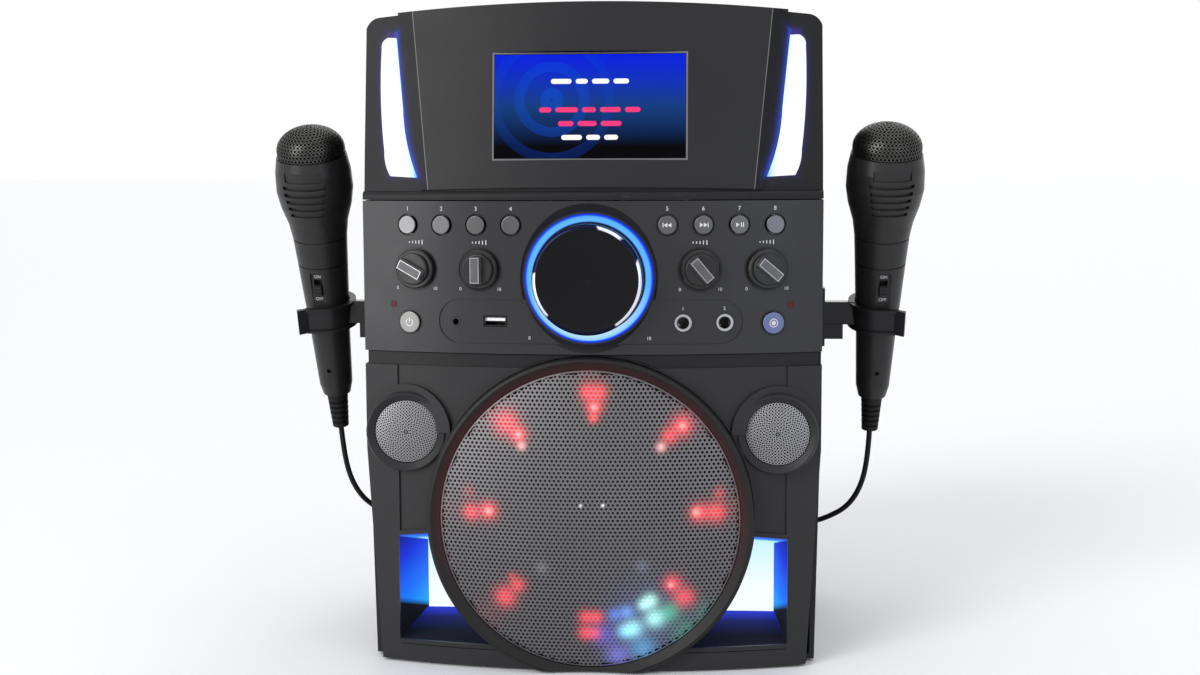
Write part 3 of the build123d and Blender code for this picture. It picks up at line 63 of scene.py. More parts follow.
JACK_X = (54.1 * MM, 78.0 * MM)
MICROPHONES = ((-1, "mic_left"), (1, "mic_right"))


def axes_at(place, across, up, out):
    """Frame of axes at a place, from its three directions."""
    return Matrix.Translation(place) @ Matrix((across, up, out)).transposed().to_4x4()


def front_frame(x, z, out=0.0, turn=0.0):
    """Axes on the bowed front at x and z: x along it, y up, z outwards, lifted by out and turned."""
    angle = asin(x / FRONT_RADIUS)
    normal = Vector((sin(angle), -cos(angle), 0))
    along = Vector((cos(angle), sin(angle), 0))
    bow = FRONT_RADIUS * (1 - cos(angle))
    place = Vector((x, FRONT + bow, z)) + normal * out
    return axes_at(place, along, Vector((0, 0, 1)), normal) @ Matrix.Rotation(turn, 4, "Z")


def straight_frame(x, depth, z):
    """Axes facing straight out at a depth behind the front: x to the right, y up."""
    place = Vector((x, FRONT + depth, z))
    return axes_at(place, Vector((1, 0, 0)), Vector((0, 0, 1)), Vector((0, -1, 0)))


def head_frame(x, rise, out=0.0):
    """Axes on the head's flat working plane, lifted by out."""
    up = Vector((0, sin(HEAD_TILT), cos(HEAD_TILT)))
    normal = Vector((0, -cos(HEAD_TILT), sin(HEAD_TILT)))
    place = HEAD_FOOT + Vector((x, 0, 0)) + up * rise + normal * out
    return axes_at(place, Vector((1, 0, 0)), up, normal)


def microphone_frame(side):
    """Axes of a microphone: origin at its cord end, z up along it, y to its back."""
    lean = radians(16.5)
    splay = radians(1.0)
    twist = radians(6.0) * side
    up = Vector((side * sin(splay), -sin(lean) * cos(splay), cos(lean) * cos(splay)))
    across = Vector((cos(twist), sin(twist), 0))
    across = (across - up * across.dot(up)).normalized()
    place = Vector((side * 172.2, FRONT / MM + 117.0, 128.0)) * MM
    return axes_at(place, across, up.cross(across), up)


# ---- numbers and colours in a shader
def feed(socket, value):
    """Puts a number, a colour or another node's output into a socket."""
    if isinstance(value, Number):
        value = value.socket
    if isinstance(value, bpy.types.NodeSocket):
        socket.id_data.links.new(value, socket)
    elif socket.type == "RGBA":
        socket.default_value = (*value, 1)
    else:
        socket.default_value = value


def maths(tree, operation, *values, clamp=False):
    """Number that a maths node makes of others."""
    node = tree.nodes.new("ShaderNodeMath")
    node.operation = operation
    node.use_clamp = clamp
    for socket, value in zip(node.inputs, values):
        feed(socket, value)
    return Number(node.outputs[0])


class Number:
    """Number that differs over a surface, and is reckoned with like any other."""

    def __init__(self, socket):
        self.socket = socket

    def work(self, operation, *others, clamp=False):
        """What a maths node makes of it."""
        return maths(self.socket.id_data, operation, self, *others, clamp=clamp)

    def __add__(self, other):
        return self.work("ADD", other)

    def __sub__(self, other):
        return self.work("SUBTRACT", other)

    def __rsub__(self, other):
        return maths(self.socket.id_data, "SUBTRACT", other, self)

    def __mul__(self, other):
        return self.work("MULTIPLY", other)

    def __truediv__(self, other):
        return self.work("DIVIDE", other)

    def __abs__(self):
        return self.work("ABSOLUTE")

    def root(self):
        return self.work("SQRT")

    def larger(self, other):
        return self.work("MAXIMUM", other)

    def above(self, level):
        """One where it is more than a level, else nought."""
        return self.work("GREATER_THAN", level)

    def below(self, level):
        """One where it is less than a level, else nought."""
        return self.work("LESS_THAN", level)

    def between(self, low, high):
        """One where it lies between two levels, else nought."""
        return self.above(low) * self.below(high)

    def share(self, start, span):
        """How far it has come from a start over a span, kept from nought to one."""
        return (self - start).work("DIVIDE", span, clamp=True)


def length(across, rise):
    """Length of a pair of offsets."""
    return (across * across + rise * rise).root()


def object_coordinates(material):
    """Object coordinates in metres, the row frame's on a CAD node."""
    return material.node_tree.nodes.new("ShaderNodeTexCoord").outputs["Object"]


def position(material):
    """X, Y and Z of a point of the object."""
    node = material.node_tree.nodes.new("ShaderNodeSeparateXYZ")
    feed(node.inputs[0], object_coordinates(material))
    return [Number(output) for output in node.outputs]


def noise(material, scale, detail=3.0):
    """Noise over the object's own coordinates."""
    node = material.node_tree.nodes.new("ShaderNodeTexNoise")
    node.inputs["Scale"].default_value = scale
    node.inputs["Detail"].default_value = detail
    node.inputs["Roughness"].default_value = 0.55
    feed(node.inputs["Vector"], object_coordinates(material))
    return Number(node.outputs["Fac"])


def mixed(factor, first, second):
    """Colour between two, by a factor."""
    node = factor.socket.id_data.nodes.new("ShaderNodeMix")
    node.data_type = "RGBA"
    feed(node.inputs[0], factor)
    feed(node.inputs[6], first)
    feed(node.inputs[7], second)
    return node.outputs[2]


def ramp(factor, *stops):
    """Colour by a factor, through stops of position and colour."""
    node = factor.socket.id_data.nodes.new("ShaderNodeValToRGB")
    elements = node.color_ramp.elements
    elements[0].position, elements[0].color = stops[0][0], (*stops[0][1], 1)
    elements[1].position, elements[1].color = stops[-1][0], (*stops[-1][1], 1)
    for place, color in stops[1:-1]:
        elements.new(place).color = (*color, 1)
    feed(node.inputs[0], factor)
    return node.outputs[0]


def scaled(color, share):
    """A colour times a number."""
    node = share.socket.id_data.nodes.new("ShaderNodeVectorMath")
    node.operation = "SCALE"
    feed(node.inputs[0], color)
    feed(node.inputs["Scale"], share)
    return node.outputs[0]


def summed(first, second):
    """Sum of two colours."""
    node = first.id_data.nodes.new("ShaderNodeVectorMath")
    feed(node.inputs[0], first)
    feed(node.inputs[1], second)
    return node.outputs[0]


# ---- materials
def set_input(material, name, value):
    """Puts a value into a socket of a material's main shader."""
    feed(material.node_tree.nodes["Principled BSDF"].inputs[name], value)


def new_material(name):
    """Empty node material with its shader and output."""
    material = bpy.data.materials.new(name)
    material.use_nodes = True
    return material


def moulded(name, color, roughness=0.42, grain=1400.0, relief=0.25, vary=0.18, shine=0.25):
    """Moulded plastic: fine spark-eroded grain, slight blotches and uneven gloss."""
    material = new_material(name)
    dark = tuple(c * (1 - vary) for c in color)
    light = tuple(c * (1 + vary) for c in color)
    set_input(material, "Base Color", mixed(noise(material, 14.0, 4.0), dark, light))
    set_input(material, "Roughness", noise(material, 45.0, 5.0) * 0.14 + (roughness - 0.07))
    set_input(material, "Specular IOR Level", shine)
    bump = material.node_tree.nodes.new("ShaderNodeBump")
    bump.inputs["Strength"].default_value = relief
    bump.inputs["Distance"].default_value = 0.12 * MM
    feed(bump.inputs["Height"], noise(material, grain, 2.0))
    set_input(material, "Normal", bump.outputs[0])
    return material


def metal(name, color, roughness=0.25):
    """Metal with faint scratches and blotches in its gloss."""
    material = moulded(name, color, roughness, 700.0, 0.1, 0.08, shine=0.5)
    set_input(material, "Metallic", 1.0)
    return material


def shine_through(material, color):
    """Gives a surface a light of its own."""
    set_input(material, "Emission Color", color)
    set_input(material, "Emission Strength", 1.0)


def glowing(name, color):
    """Lit surface of one hue whose brightness wavers a little over it."""
    material = moulded(name, (0.01, 0.01, 0.01), 0.5, 900.0, 0.02, 0.05, shine=0.1)
    set_input(material, "Emission Color", color)
    set_input(material, "Emission Strength", noise(material, 60.0) * 0.2 + 0.9)
    return material


def paint(node, material):
    """Gives a CAD node a material in each of its slots."""
    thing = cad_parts[node]
    if not thing.material_slots:
        thing.data.materials.append(material)
    for held in thing.material_slots:
        held.material = material


# ---- camera, stage and lights
def add_camera():
    """Camera at the photograph's place: a 50 mm lens, a little right of centre and above the middle."""
    camera = bpy.data.objects.new("camera", bpy.data.cameras.new("camera"))
    bpy.context.collection.objects.link(camera)
    yaw, pitch, roll = radians(3.82), radians(6.0), radians(-0.21)
    ahead = Vector((-sin(yaw) * cos(pitch), cos(yaw) * cos(pitch), -sin(pitch)))
    right = ahead.cross(Vector((0, 0, 1))).normalized()
    up = right.cross(ahead)
    rolled_right = right * cos(roll) + up * sin(roll)
    rolled_up = up * cos(roll) - right * sin(roll)
    camera.matrix_world = axes_at((0.070, FRONT - 0.9524, 0.2986), rolled_right, rolled_up, -ahead)
    camera.data.lens = 50.0
    camera.data.sensor_width = 36.0
    camera.data.dof.use_dof = False
    bpy.context.scene.camera = camera


def add_light(name, kind, direction, power, spread, color=(1, 1, 1)):
    """Lamp that shines from a direction towards the object's middle."""
    light = bpy.data.lights.new(name, kind)
    light.energy = power
    light.color = color
    if kind == "SUN":
        light.angle = spread
    else:
        light.shape = "RECTANGLE"
        light.size, light.size_y = spread
    thing = bpy.data.objects.new(name, light)
    place = Vector(direction)
    thing.location = place + Vector((0, 0, 0.2))
    thing.rotation_euler = (-place).to_track_quat("-Z", "Y").to_euler()
    bpy.context.collection.objects.link(thing)


def add_floor():
    """Wide pale floor, a hair under the feet."""
    mesh = bpy.data.meshes.new("floor")
    reach = 30.0
    corners = [(-reach, -reach, 0), (reach, -reach, 0), (reach, reach, 0), (-reach, reach, 0)]
    mesh.from_pydata(corners, [], [(0, 1, 2, 3)])
    floor = bpy.data.objects.new("floor", mesh)
    floor.location.z = -0.2 * MM
    bpy.context.collection.objects.link(floor)
    paper = new_material("floor_paper")
    set_input(paper, "Base Color", (0.95, 0.95, 0.955))
    set_input(paper, "Roughness", 0.7)
    set_input(paper, "Specular IOR Level", 0.1)
    mesh.materials.append(paper)


def add_world():
    """White surround for the camera, metal and glass; the rest gets a softer level."""
    world = bpy.data.worlds.new("studio")
    world.use_nodes = True
    bpy.context.scene.world = world
    nodes = world.node_tree.nodes
    nodes.clear()
    output = nodes.new("ShaderNodeOutputWorld")
    mix = nodes.new("ShaderNodeMixShader")
    path = nodes.new("ShaderNodeLightPath").outputs
    seen = Number(path["Is Camera Ray"]).larger(path["Is Glossy Ray"]).larger(path["Is Transmission Ray"])
    feed(mix.inputs[0], seen)
    for index, color, strength in ((1, (0.96, 0.97, 1.0), 0.52), (2, (1, 1, 1), 1.0)):
        sky = nodes.new("ShaderNodeBackground")
        feed(sky.inputs["Color"], color)
        feed(sky.inputs["Strength"], strength)
        feed(mix.inputs[index], sky.outputs[0])
    feed(output.inputs[0], mix.outputs[0])


def add_stage():
    """Floor, surround and lamps."""
    add_floor()
    add_world()
    add_light("key", "SUN", (-1.1, -1.5, 1.1), 1.0, radians(25))
    add_light("fill", "SUN", (1.5, -1.8, 0.7), 0.3, radians(60), (0.80, 0.84, 1.0))
    add_light("top", "SUN", (0.0, 0.1, 2.0), 0.6, radians(70))
    add_light("back", "SUN", (0.4, 1.8, 0.9), 0.7, radians(60))
    add_light("left_strip", "AREA", (-1.19, -1.16, 0.15), 10.2, (0.55, 1.3))
    add_light("right_strip", "AREA", (0.90, -1.39, 0.15), 1.5, (0.22, 1.3), (0.66, 0.72, 1.0))
    bpy.context.scene.view_settings.view_transform = "Standard"


# ---- mesh helpers
def place_piece(name, mesh, material, body):
    """Object of a mesh that rides on a body."""
    mesh.materials.clear()
    mesh.materials.append(material)
    thing = bpy.data.objects.new(name, mesh)
    bpy.context.collection.objects.link(thing)
    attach(thing, body)
    return thing


def mesh_piece(name, vertices, faces, material, slot, body="cabinet", smooth=False):
    """Piece made of vertices and faces; its slot argument is not used."""
    mesh = bpy.data.meshes.new(name)
    mesh.from_pydata([tuple(v) for v in vertices], [], faces)
    mesh.validate()
    mesh.update()
    if smooth:
        mesh.shade_smooth()
    thing = place_piece(name, mesh, material, body)
    return thing


def words_piece(name, words, matrix, size, material, body="cabinet"):
    """Flat printed words, centred on a frame."""
    curve = bpy.data.curves.new(name + "_curve", "FONT")
    curve.body = words
    curve.size = size
    curve.align_x = "CENTER"
    curve.align_y = "CENTER"
    carrier = bpy.data.objects.new(name + "_carrier", curve)
    bpy.context.collection.objects.link(carrier)
    bpy.context.view_layer.update()
    mesh = bpy.data.meshes.new_from_object(carrier.evaluated_get(bpy.context.evaluated_depsgraph_get()))
    bpy.data.objects.remove(carrier)
    mesh.name = name
    mesh.transform(matrix)
    place_piece(name, mesh, material, body)


class FlatPiece:
    """Flat polygons, drawn on frames of axes, that grow into one piece."""

    def __init__(self):
        self.vertices = []
        self.faces = []

    def outline(self, matrix, points):
        """Polygon given in a frame's own x and y."""
        start = len(self.vertices)
        self.vertices += [matrix @ Vector((x, y, 0)) for x, y in points]
        self.faces.append(tuple(range(start, start + len(points))))

    def bar(self, matrix, x, y, width, height):
        """Upright rectangle centred at x and y."""
        left, right, low, high = x - width / 2, x + width / 2, y - height / 2, y + height / 2
        self.outline(matrix, [(left, low), (right, low), (right, high), (left, high)])

    def round_bar(self, matrix, x, y, width, height):
        """Bar with round ends."""
        radius, steps = height / 2, 8
        points = []
        for end, start in ((1, -pi / 2), (-1, pi / 2)):
            middle = x + end * (width / 2 - radius)
            for step in range(steps + 1):
                angle = start + pi * step / steps
                points.append((middle + radius * cos(angle), y + radius * sin(angle)))
        self.outline(matrix, points)

    def triangle(self, matrix, x, size, way):
        """Pointer to the right or the left."""
        back, tip, half = x - way * size / 2, x + way * size / 2, size * 0.62
        self.outline(matrix, [(back, -half), (tip, 0), (back, half)][::way])

    def ring(self, matrix, radius, width, start=0.0, end=2 * pi):
        """Ring or an arc of one."""
        inner, outer, steps = radius - width / 2, radius + width / 2, 32
        for step in range(steps):
            a = start + (end - start) * step / steps
            b = start + (end - start) * (step + 1) / steps
            corners = ((inner, a), (outer, a), (outer, b), (inner, b))
            self.outline(matrix, [(reach * cos(angle), reach * sin(angle)) for reach, angle in corners])

    def finish(self, name, material, slot, body="cabinet", smooth=False):
        return mesh_piece(name, self.vertices, self.faces, material, slot, body, smooth)


def round_surface(rings, count, place, top=None):
    """Vertices and faces of rings of places, given by ring number and angle, closed by a top if any."""
    vertices = [] if top is None else [top]
    first = len(vertices)
    for ring in range(rings):
        vertices += [place(ring, 2 * pi * step / count) for step in range(count)]
    faces = []
    for step in range(count):
        after = (step + 1) % count
        if top is not None:
            faces.append((0, first + step, first + after))
        for ring in range(rings - 1):
            near, far = first + ring * count, first + (ring + 1) * count
            faces.append((near + step, far + step, far + after, near + after))
    return vertices, faces


def perforated_sheet(name, cells, surface, thickness, material, slot, body="cabinet"):
    """Sheet of cells, each a ring of quads round a hole; surface maps flat points to place and normal."""
    vertices = []
    faces = []
    for outer, inner in cells:
        count = len(outer)
        face = len(vertices)
        hole, back = face + count, face + 2 * count
        vertices += [surface(u, v)[0] for u, v in (*outer, *inner)]
        for u, v in inner:
            place, normal = surface(u, v)
            vertices.append(place - normal * thickness)
        for step in range(count):
            after = (step + 1) % count
            faces.append((face + step, face + after, hole + after, hole + step))
            faces.append((hole + step, hole + after, back + after, back + step))
    return mesh_piece(name, vertices, faces, material, slot, body)


def hexagon(u, v, reach, radius):
    """Six corners round a point, pulled in where they pass a circle."""
    corners = []
    for corner in range(6):
        angle = pi / 6 + corner * pi / 3
        point = Vector((u + reach * cos(angle), v + reach * sin(angle)))
        corners.append(point * min(1.0, radius / point.length))
    return corners


def hexagonal_cells(radius, pitch, hole):
    """Hexagonal lattice of six-sided cells with holes, clipped to a circle."""
    cells = []
    row_pitch = pitch * sqrt(3) / 2
    rows = ceil(radius / row_pitch)
    for row in range(-rows, rows + 1):
        v = row * row_pitch
        shift = pitch / 2 if row % 2 else 0.0
        for column in range(-rows - 1, rows + 2):
            u = column * pitch + shift
            if sqrt(u * u + v * v) <= radius - hole:
                cells.append((hexagon(u, v, pitch / sqrt(3), radius), hexagon(u, v, hole, radius)))
    return cells


def ringed_cells(reach, pitch, hole, radius_at):
    """Rings of cells with round holes round a pole, out to a reach; radius_at gives a ring's radius."""
    cells = []
    rings = int(reach / pitch)
    for ring in range(rings):
        middle = (ring + 0.5) * reach / rings
        count = max(5, round(2 * pi * radius_at(middle) / pitch))
        half = pi / count
        share = hole / radius_at(middle)
        for place in range(count):
            centre = 2 * pi * (place + 0.5 * (ring % 2)) / count
            outer = []
            inner = []
            for corner in range(8):
                angle = pi / 8 + corner * pi / 4
                across, along = cos(angle), sin(angle)
                square = 1 / max(abs(across), abs(along))
                outer.append((centre + half * across * square, middle + reach / rings / 2 * along * square))
                inner.append((centre + share * across, middle + hole * along))
            cells.append((outer, inner))
    return cells


# ---- cords
# Millimetres.
CORD_DIAMETER = 3.5
CORD_POINTS = (
    # distance from the middle, depth behind the front and height of a few points, in mm
    (168.6, 128.6, 88.5),
    (160.5, 136.5, 72.5),
    (147.5, 150.0, 62.0),
    (137.0, 171.0, 54.0),
    (132.0, 197.0, 44.0),
    (128.5, 222.0, 29.0),
    (127.0, 244.0, 13.5),
    (119.5, 262.5, 4.2),
)
COIL_CENTRE = (88.0, 237.0)
COIL_MEAN_RADIUS = 21.0
COIL_PITCH = 4.5
LAYER_QUARTERS = 23
CLIMB_QUARTERS = 2
COIL_OUTER_RADIUS = COIL_MEAN_RADIUS + COIL_PITCH * LAYER_QUARTERS / 8
CORD_FLOOR = CORD_DIAMETER / 2 + 0.05


def coil_points(side):
    """Centre points of the put-away coil: spiral in on the floor, climb a layer, spiral out."""
    last = 2 * LAYER_QUARTERS + CLIMB_QUARTERS
    steps = 4
    points = []
    for step in range(last * steps + 1):
        quarter = step / steps
        inward = min(quarter, LAYER_QUARTERS) - max(quarter - LAYER_QUARTERS - CLIMB_QUARTERS, 0)
        climbed = min(max(quarter - LAYER_QUARTERS, 0), CLIMB_QUARTERS) / CLIMB_QUARTERS
        smooth = climbed * climbed * (3 - 2 * climbed)
        radius = COIL_OUTER_RADIUS - COIL_PITCH * inward / 4
        turn = pi / 2 * (quarter + 1)
        x = side * (COIL_CENTRE[0] + radius * cos(turn))
        depth = COIL_CENTRE[1] + radius * sin(turn)
        points.append((x, depth, CORD_FLOOR + COIL_PITCH * smooth))
    return points


def add_cord(side, name, material):
    """One microphone's cord, from its boot down behind the cabinet into its coil and plug."""
    foot = microphone_frame(side)
    back = COIL_CENTRE[1] + COIL_OUTER_RADIUS
    listed = [(side * x, depth, z) for x, depth, z in CORD_POINTS]
    listed.append((side * (COIL_CENTRE[0] + CORD_DIAMETER + 14.0), back, CORD_FLOOR))
    listed.append((side * (COIL_CENTRE[0] + CORD_DIAMETER), back, CORD_FLOOR))
    listed += coil_points(side)
    listed.append((side * (COIL_CENTRE[0] - CORD_DIAMETER), back, CORD_FLOOR + COIL_PITCH))
    route = [foot @ Vector((0, 0, 0)), foot @ Vector((0, 0, -20 * MM))]
    route += [Vector((x * MM, FRONT + depth * MM, z * MM)) for x, depth, z in listed]
    curve = bpy.data.curves.new(name + "_lead", "CURVE")
    curve.dimensions = "3D"
    curve.bevel_depth = CORD_DIAMETER / 2 * MM
    curve.bevel_resolution = 5
    curve.use_fill_caps = True
    curve.resolution_u = 6
    spline = curve.splines.new("NURBS")
    spline.points.add(len(route) - 1)
    for point, place in zip(spline.points, route):
        point.co = (*place, 1)
    spline.order_u = 3
    spline.use_endpoint_u = True
    curve.materials.append(material)
    lead = bpy.data.objects.new(name + "_lead", curve)
    bpy.context.collection.objects.link(lead)
    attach(lead, name)
    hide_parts(name + "_cord", name + "_coil")


# ---- grilles
GRILLE_RADIUS = 87.8 * MM
GRILLE_RISE = 14.0 * MM
GRILLE_BALL = (GRILLE_RADIUS**2 + GRILLE_RISE**2) / 2 / GRILLE_RISE
GRILLE_PITCH = 2.62 * MM
GRILLE_HOLE = 0.86 * MM
GLOW_SHEET_GAP = 2.2 * MM
SPOT_SPREAD = 0.85
LED_RED = (1.0, 0.045, 0.06)
HOT = (1.0, 0.45, 0.42)
BLUE = (0.1, 0.25, 1.0)
LED_SPOTS = (
    # x and z from the woofer's centre, reach and brightness of each lit spot, then its colour
    (-0.8, 75.4, 5.2, 0.9, LED_RED),
    (6.0, 75.4, 5.2, 0.9, LED_RED),
    (3.2, 67.2, 5.2, 1.0, LED_RED),
    (3.2, 66.8, 2.0, 0.8, HOT),
    (2.7, 60.8, 3.0, 1.0, LED_RED),
    (-48.2, 57.5, 7.8, 0.9, LED_RED),
    (-40.8, 50.7, 5.4, 1.0, LED_RED),
    (-40.8, 50.7, 2.0, 0.8, HOT),
    (-38.8, 44.4, 2.8, 1.0, HOT),
    (53.5, 56.0, 6.6, 0.95, LED_RED),
    (54.0, 56.0, 2.2, 0.7, HOT),
    (46.2, 50.3, 5.0, 0.8, LED_RED),
    (41.7, 44.2, 3.0, 1.0, HOT),
    (-69.1, 4.9, 5.4, 0.9, LED_RED),
    (-58.7, 6.4, 5.8, 1.0, LED_RED),
    (-58.2, 6.0, 2.2, 0.9, HOT),
    (-70.6, 16.9, 4.0, 0.2, LED_RED),
    (63.7, 6.0, 5.6, 1.0, LED_RED),
    (62.0, 6.4, 2.4, 0.8, HOT),
    (73.4, 6.1, 6.4, 0.9, LED_RED),
    (75.2, 17.1, 3.8, 0.4, LED_RED),
    (-49.2, -45.0, 6.8, 0.9, LED_RED),
    (-41.7, -37.2, 5.0, 0.75, LED_RED),
    (-45.0, -32.0, 3.0, 0.3, LED_RED),
    (-2.0, -56.0, 4.6, 0.8, LED_RED),
    (4.2, -56.0, 4.6, 0.8, LED_RED),
    (-2.5, -66.0, 4.8, 0.8, LED_RED),
    (3.0, -66.0, 4.4, 0.7, LED_RED),
    (48.2, -35.6, 5.6, 0.85, LED_RED),
    (47.5, -36.5, 1.8, 0.7, HOT),
    (55.1, -44.2, 6.6, 0.85, LED_RED),
    (35.5, -45.9, 4.8, 1.0, (0.5, 1.0, 0.85)),
    (31.5, -48.5, 4.0, 0.8, (0.45, 0.95, 0.95)),
    (38.0, -57.0, 6.2, 1.0, (0.4, 1.0, 0.9)),
    (25.5, -63.2, 6.0, 1.0, (0.35, 0.9, 1.0)),
    (20.5, -65.0, 4.8, 0.8, (0.2, 0.7, 1.0)),
    (21.9, -52.6, 4.6, 0.75, (0.12, 0.35, 1.0)),
    (14.9, -54.4, 4.6, 0.6, BLUE),
    (46.3, -53.2, 6.5, 0.5, (0.05, 0.7, 0.35)),
    (57.3, -67.1, 10.0, 0.24, (0.04, 0.6, 0.34)),
    (67.0, -53.0, 7.0, 0.16, (0.04, 0.45, 0.35)),
    (31.0, -76.0, 8.5, 0.5, (0.08, 0.5, 1.0)),
    (9.1, -67.0, 8.0, 0.35, (0.14, 0.1, 1.0)),
    (16.3, -80.5, 8.0, 0.5, (0.22, 0.2, 1.0)),
    (33.0, -58.0, 24.0, 0.12, BLUE),
    (-27.3, -26.2, 4.0, 0.10, (0.8, 0.8, 0.9)),
    (30.8, -24.6, 4.0, 0.10, (0.6, 0.7, 1.0)),
    (-4.4, 10.7, 1.0, 0.8, (0.9, 0.9, 0.9)),
    (8.4, 11.1, 1.0, 1.0, (1.0, 1.0, 1.0)),
    (0.0, 84.0, 9.0, 0.05, LED_RED),
    (-60.0, 62.0, 9.0, 0.05, LED_RED),
    (62.0, 62.0, 9.0, 0.05, LED_RED),
    (-82.0, 6.0, 9.0, 0.03, LED_RED),
    (84.0, 8.0, 9.0, 0.05, LED_RED),
    (-60.0, -56.0, 10.0, 0.05, LED_RED),
)


def light_spots(material, level):
    """Painted glow of every lit spot over the object's x and z."""
    x_place, _, z_place = position(material)
    total = None
    for x, z, reach, bright, color in LED_SPOTS:
        across = x_place - x * MM
        rise = z_place - (WOOFER_Z + z * MM)
        near = (across * across + rise * rise) / -((reach * MM * SPOT_SPREAD) ** 2)
        tint = scaled(color, near.work("EXPONENT") * (bright * level))
        total = tint if total is None else summed(total, tint)
    return total


def lit_material(name, color, roughness, metallic, level):
    """Surface with the woofer's lights painted on it as a glow."""
    material = moulded(name, color, roughness, 1500.0, 0.1, 0.12)
    set_input(material, "Metallic", metallic)
    shine_through(material, light_spots(material, level))
    return material


def dome_height(reach):
    """Height of the woofer grille's dome at a distance from its axis."""
    return GRILLE_RISE - GRILLE_BALL + sqrt(GRILLE_BALL**2 - reach**2)


def woofer_surface(u, v):
    """Place and outward normal on the woofer grille's dome."""
    height = dome_height(min(sqrt(u * u + v * v), GRILLE_RADIUS))
    normal = Vector((u, -(GRILLE_BALL - GRILLE_RISE + height), v)).normalized()
    return Vector((u, FRONT - height, WOOFER_Z + v)), normal


def woofer_place(radius, angle, height):
    """Place round the woofer's axis at a height in front of the front."""
    return Vector((radius * cos(angle), FRONT - height, WOOFER_Z + radius * sin(angle)))


def add_woofer_grille():
    """Perforated steel dome over the woofer, with the light show's glowing sheet behind it; both carry
    painted lit spots.
    """
    silver = lit_material("grille_paint_and_glow", (0.145, 0.14, 0.145), 0.42, 0.6, 0.8)
    cells = hexagonal_cells(GRILLE_RADIUS - 0.5 * MM, GRILLE_PITCH, GRILLE_HOLE)
    grille = perforated_sheet("woofer_grille_steel", cells, woofer_surface, 0.9 * MM, silver, "silver_grille")
    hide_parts("woofer_grille")
    rim = (
        # radius and height of the rim's edges, from the dome round to behind the front
        (GRILLE_RADIUS - 1.0 * MM, dome_height(GRILLE_RADIUS - 1.0 * MM) - 0.1 * MM),
        (GRILLE_RADIUS - 0.2 * MM, dome_height(GRILLE_RADIUS - 0.2 * MM)),
        (GRILLE_RADIUS, -0.4 * MM),
        (GRILLE_RADIUS, -3.3 * MM),
    )

    def edge(ring, angle):
        radius, height = rim[ring]
        return woofer_place(radius, angle, height)

    surface = round_surface(len(rim), 128, edge)
    mesh_piece("woofer_grille_rim", *surface, silver, "silver_grille", smooth=True)

    rings = 12
    # Painted light: a dark sheet behind the grille glows with the lit spots, in place of the LEDs' light on
    # the cone.
    backing = lit_material("light_show_glow_sheet", (0.005, 0.005, 0.005), 0.8, 0.0, 1.3)

    def behind(ring, angle):
        radius = (GRILLE_RADIUS - 1.6 * MM) * (ring + 1) / rings
        return woofer_place(radius, angle, dome_height(radius) - GLOW_SHEET_GAP)

    surface = round_surface(rings, 72, behind, woofer_place(0, 0, GRILLE_RISE - GLOW_SHEET_GAP))
    mesh_piece("light_show_glow_sheet", *surface, backing, "clear_light", smooth=True)


def add_tweeter_grilles():
    """Domed discs with rings of round holes, over black cloth."""
    silver = metal("tweeter_steel", (0.33, 0.33, 0.34), 0.4)
    black = moulded("tweeter_cloth", (0.012, 0.012, 0.012), 0.9)
    reach = 18.4 * MM
    top, dome = 4.2 * MM, 1.8 * MM
    cells = ringed_cells(reach, 1.84 * MM, 0.58 * MM, lambda away: away)
    for side, name in ((-1, "left"), (1, "right")):
        matrix = straight_frame(side * TWEETER_X, TWEETER_DEPTH, TWEETER_Z)

        def surface(angle, away):
            lean = 2 * dome * away / reach**2
            normal = Vector((lean * cos(angle), lean * sin(angle), 1)).normalized()
            place = Vector((away * cos(angle), away * sin(angle), top - dome * (away / reach) ** 2))
            return matrix @ place, matrix.to_3x3() @ normal

        def edge(ring, angle):
            return matrix @ Vector((reach * cos(angle), reach * sin(angle), 1.6 * MM))

        grille = perforated_sheet(f"tweeter_steel_{name}", cells, surface, 0.6 * MM, silver, "silver_grille")
        if side < 0:
            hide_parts("tweeter_grilles")
        backing = round_surface(1, 48, edge, matrix @ Vector((0, 0, 3.2 * MM)))
        mesh_piece(f"tweeter_cloth_{name}", *backing, black, "gloss_black", smooth=True)


MIC_ROUND = 28.0 * MM
MIC_HEAD_REACH = 31.6 * MM


def microphone_profile(away):
    """Radius and height of a microphone's mesh head at a distance down it from the top."""
    turn = min(away / MIC_ROUND, 1.0) * pi / 2
    drop = max(away - MIC_ROUND, 0.0)
    return 20.9 * MM * sin(turn), (187.0 + 14.8 * cos(turn)) * MM - drop


def add_microphone_head(side, name, steel, foam):
    """Woven steel head of a microphone, over dark foam."""
    matrix = microphone_frame(side)
    rings = 14

    def surface(angle, away):
        radius, height = microphone_profile(away)
        ahead, lower = microphone_profile(away + 0.2 * MM)
        slope = Vector((height - lower, 0, ahead - radius)).normalized()
        normal = Vector((slope.x * cos(angle), slope.x * sin(angle), slope.z))
        place = Vector((radius * cos(angle), radius * sin(angle), height))
        return matrix @ place, matrix.to_3x3() @ normal

    def inside(ring, angle):
        radius, height = microphone_profile(MIC_HEAD_REACH * (ring + 1) / rings)
        inner = radius * 0.94
        return matrix @ Vector((inner * cos(angle), inner * sin(angle), height - 1.2 * MM))

    cells = ringed_cells(MIC_HEAD_REACH, 2.4 * MM, 0.9 * MM, lambda away: microphone_profile(away)[0])
    head = perforated_sheet(f"{name}_mesh", cells, surface, 0.6 * MM, steel, "mic_mesh", name)
    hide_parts(f"{name}_grille")
    filling = round_surface(rings, 40, inside, matrix @ Vector((0, 0, 200.6 * MM)))
    mesh_piece(f"{name}_foam", *filling, foam, "dark_rubber", body=name, smooth=True)


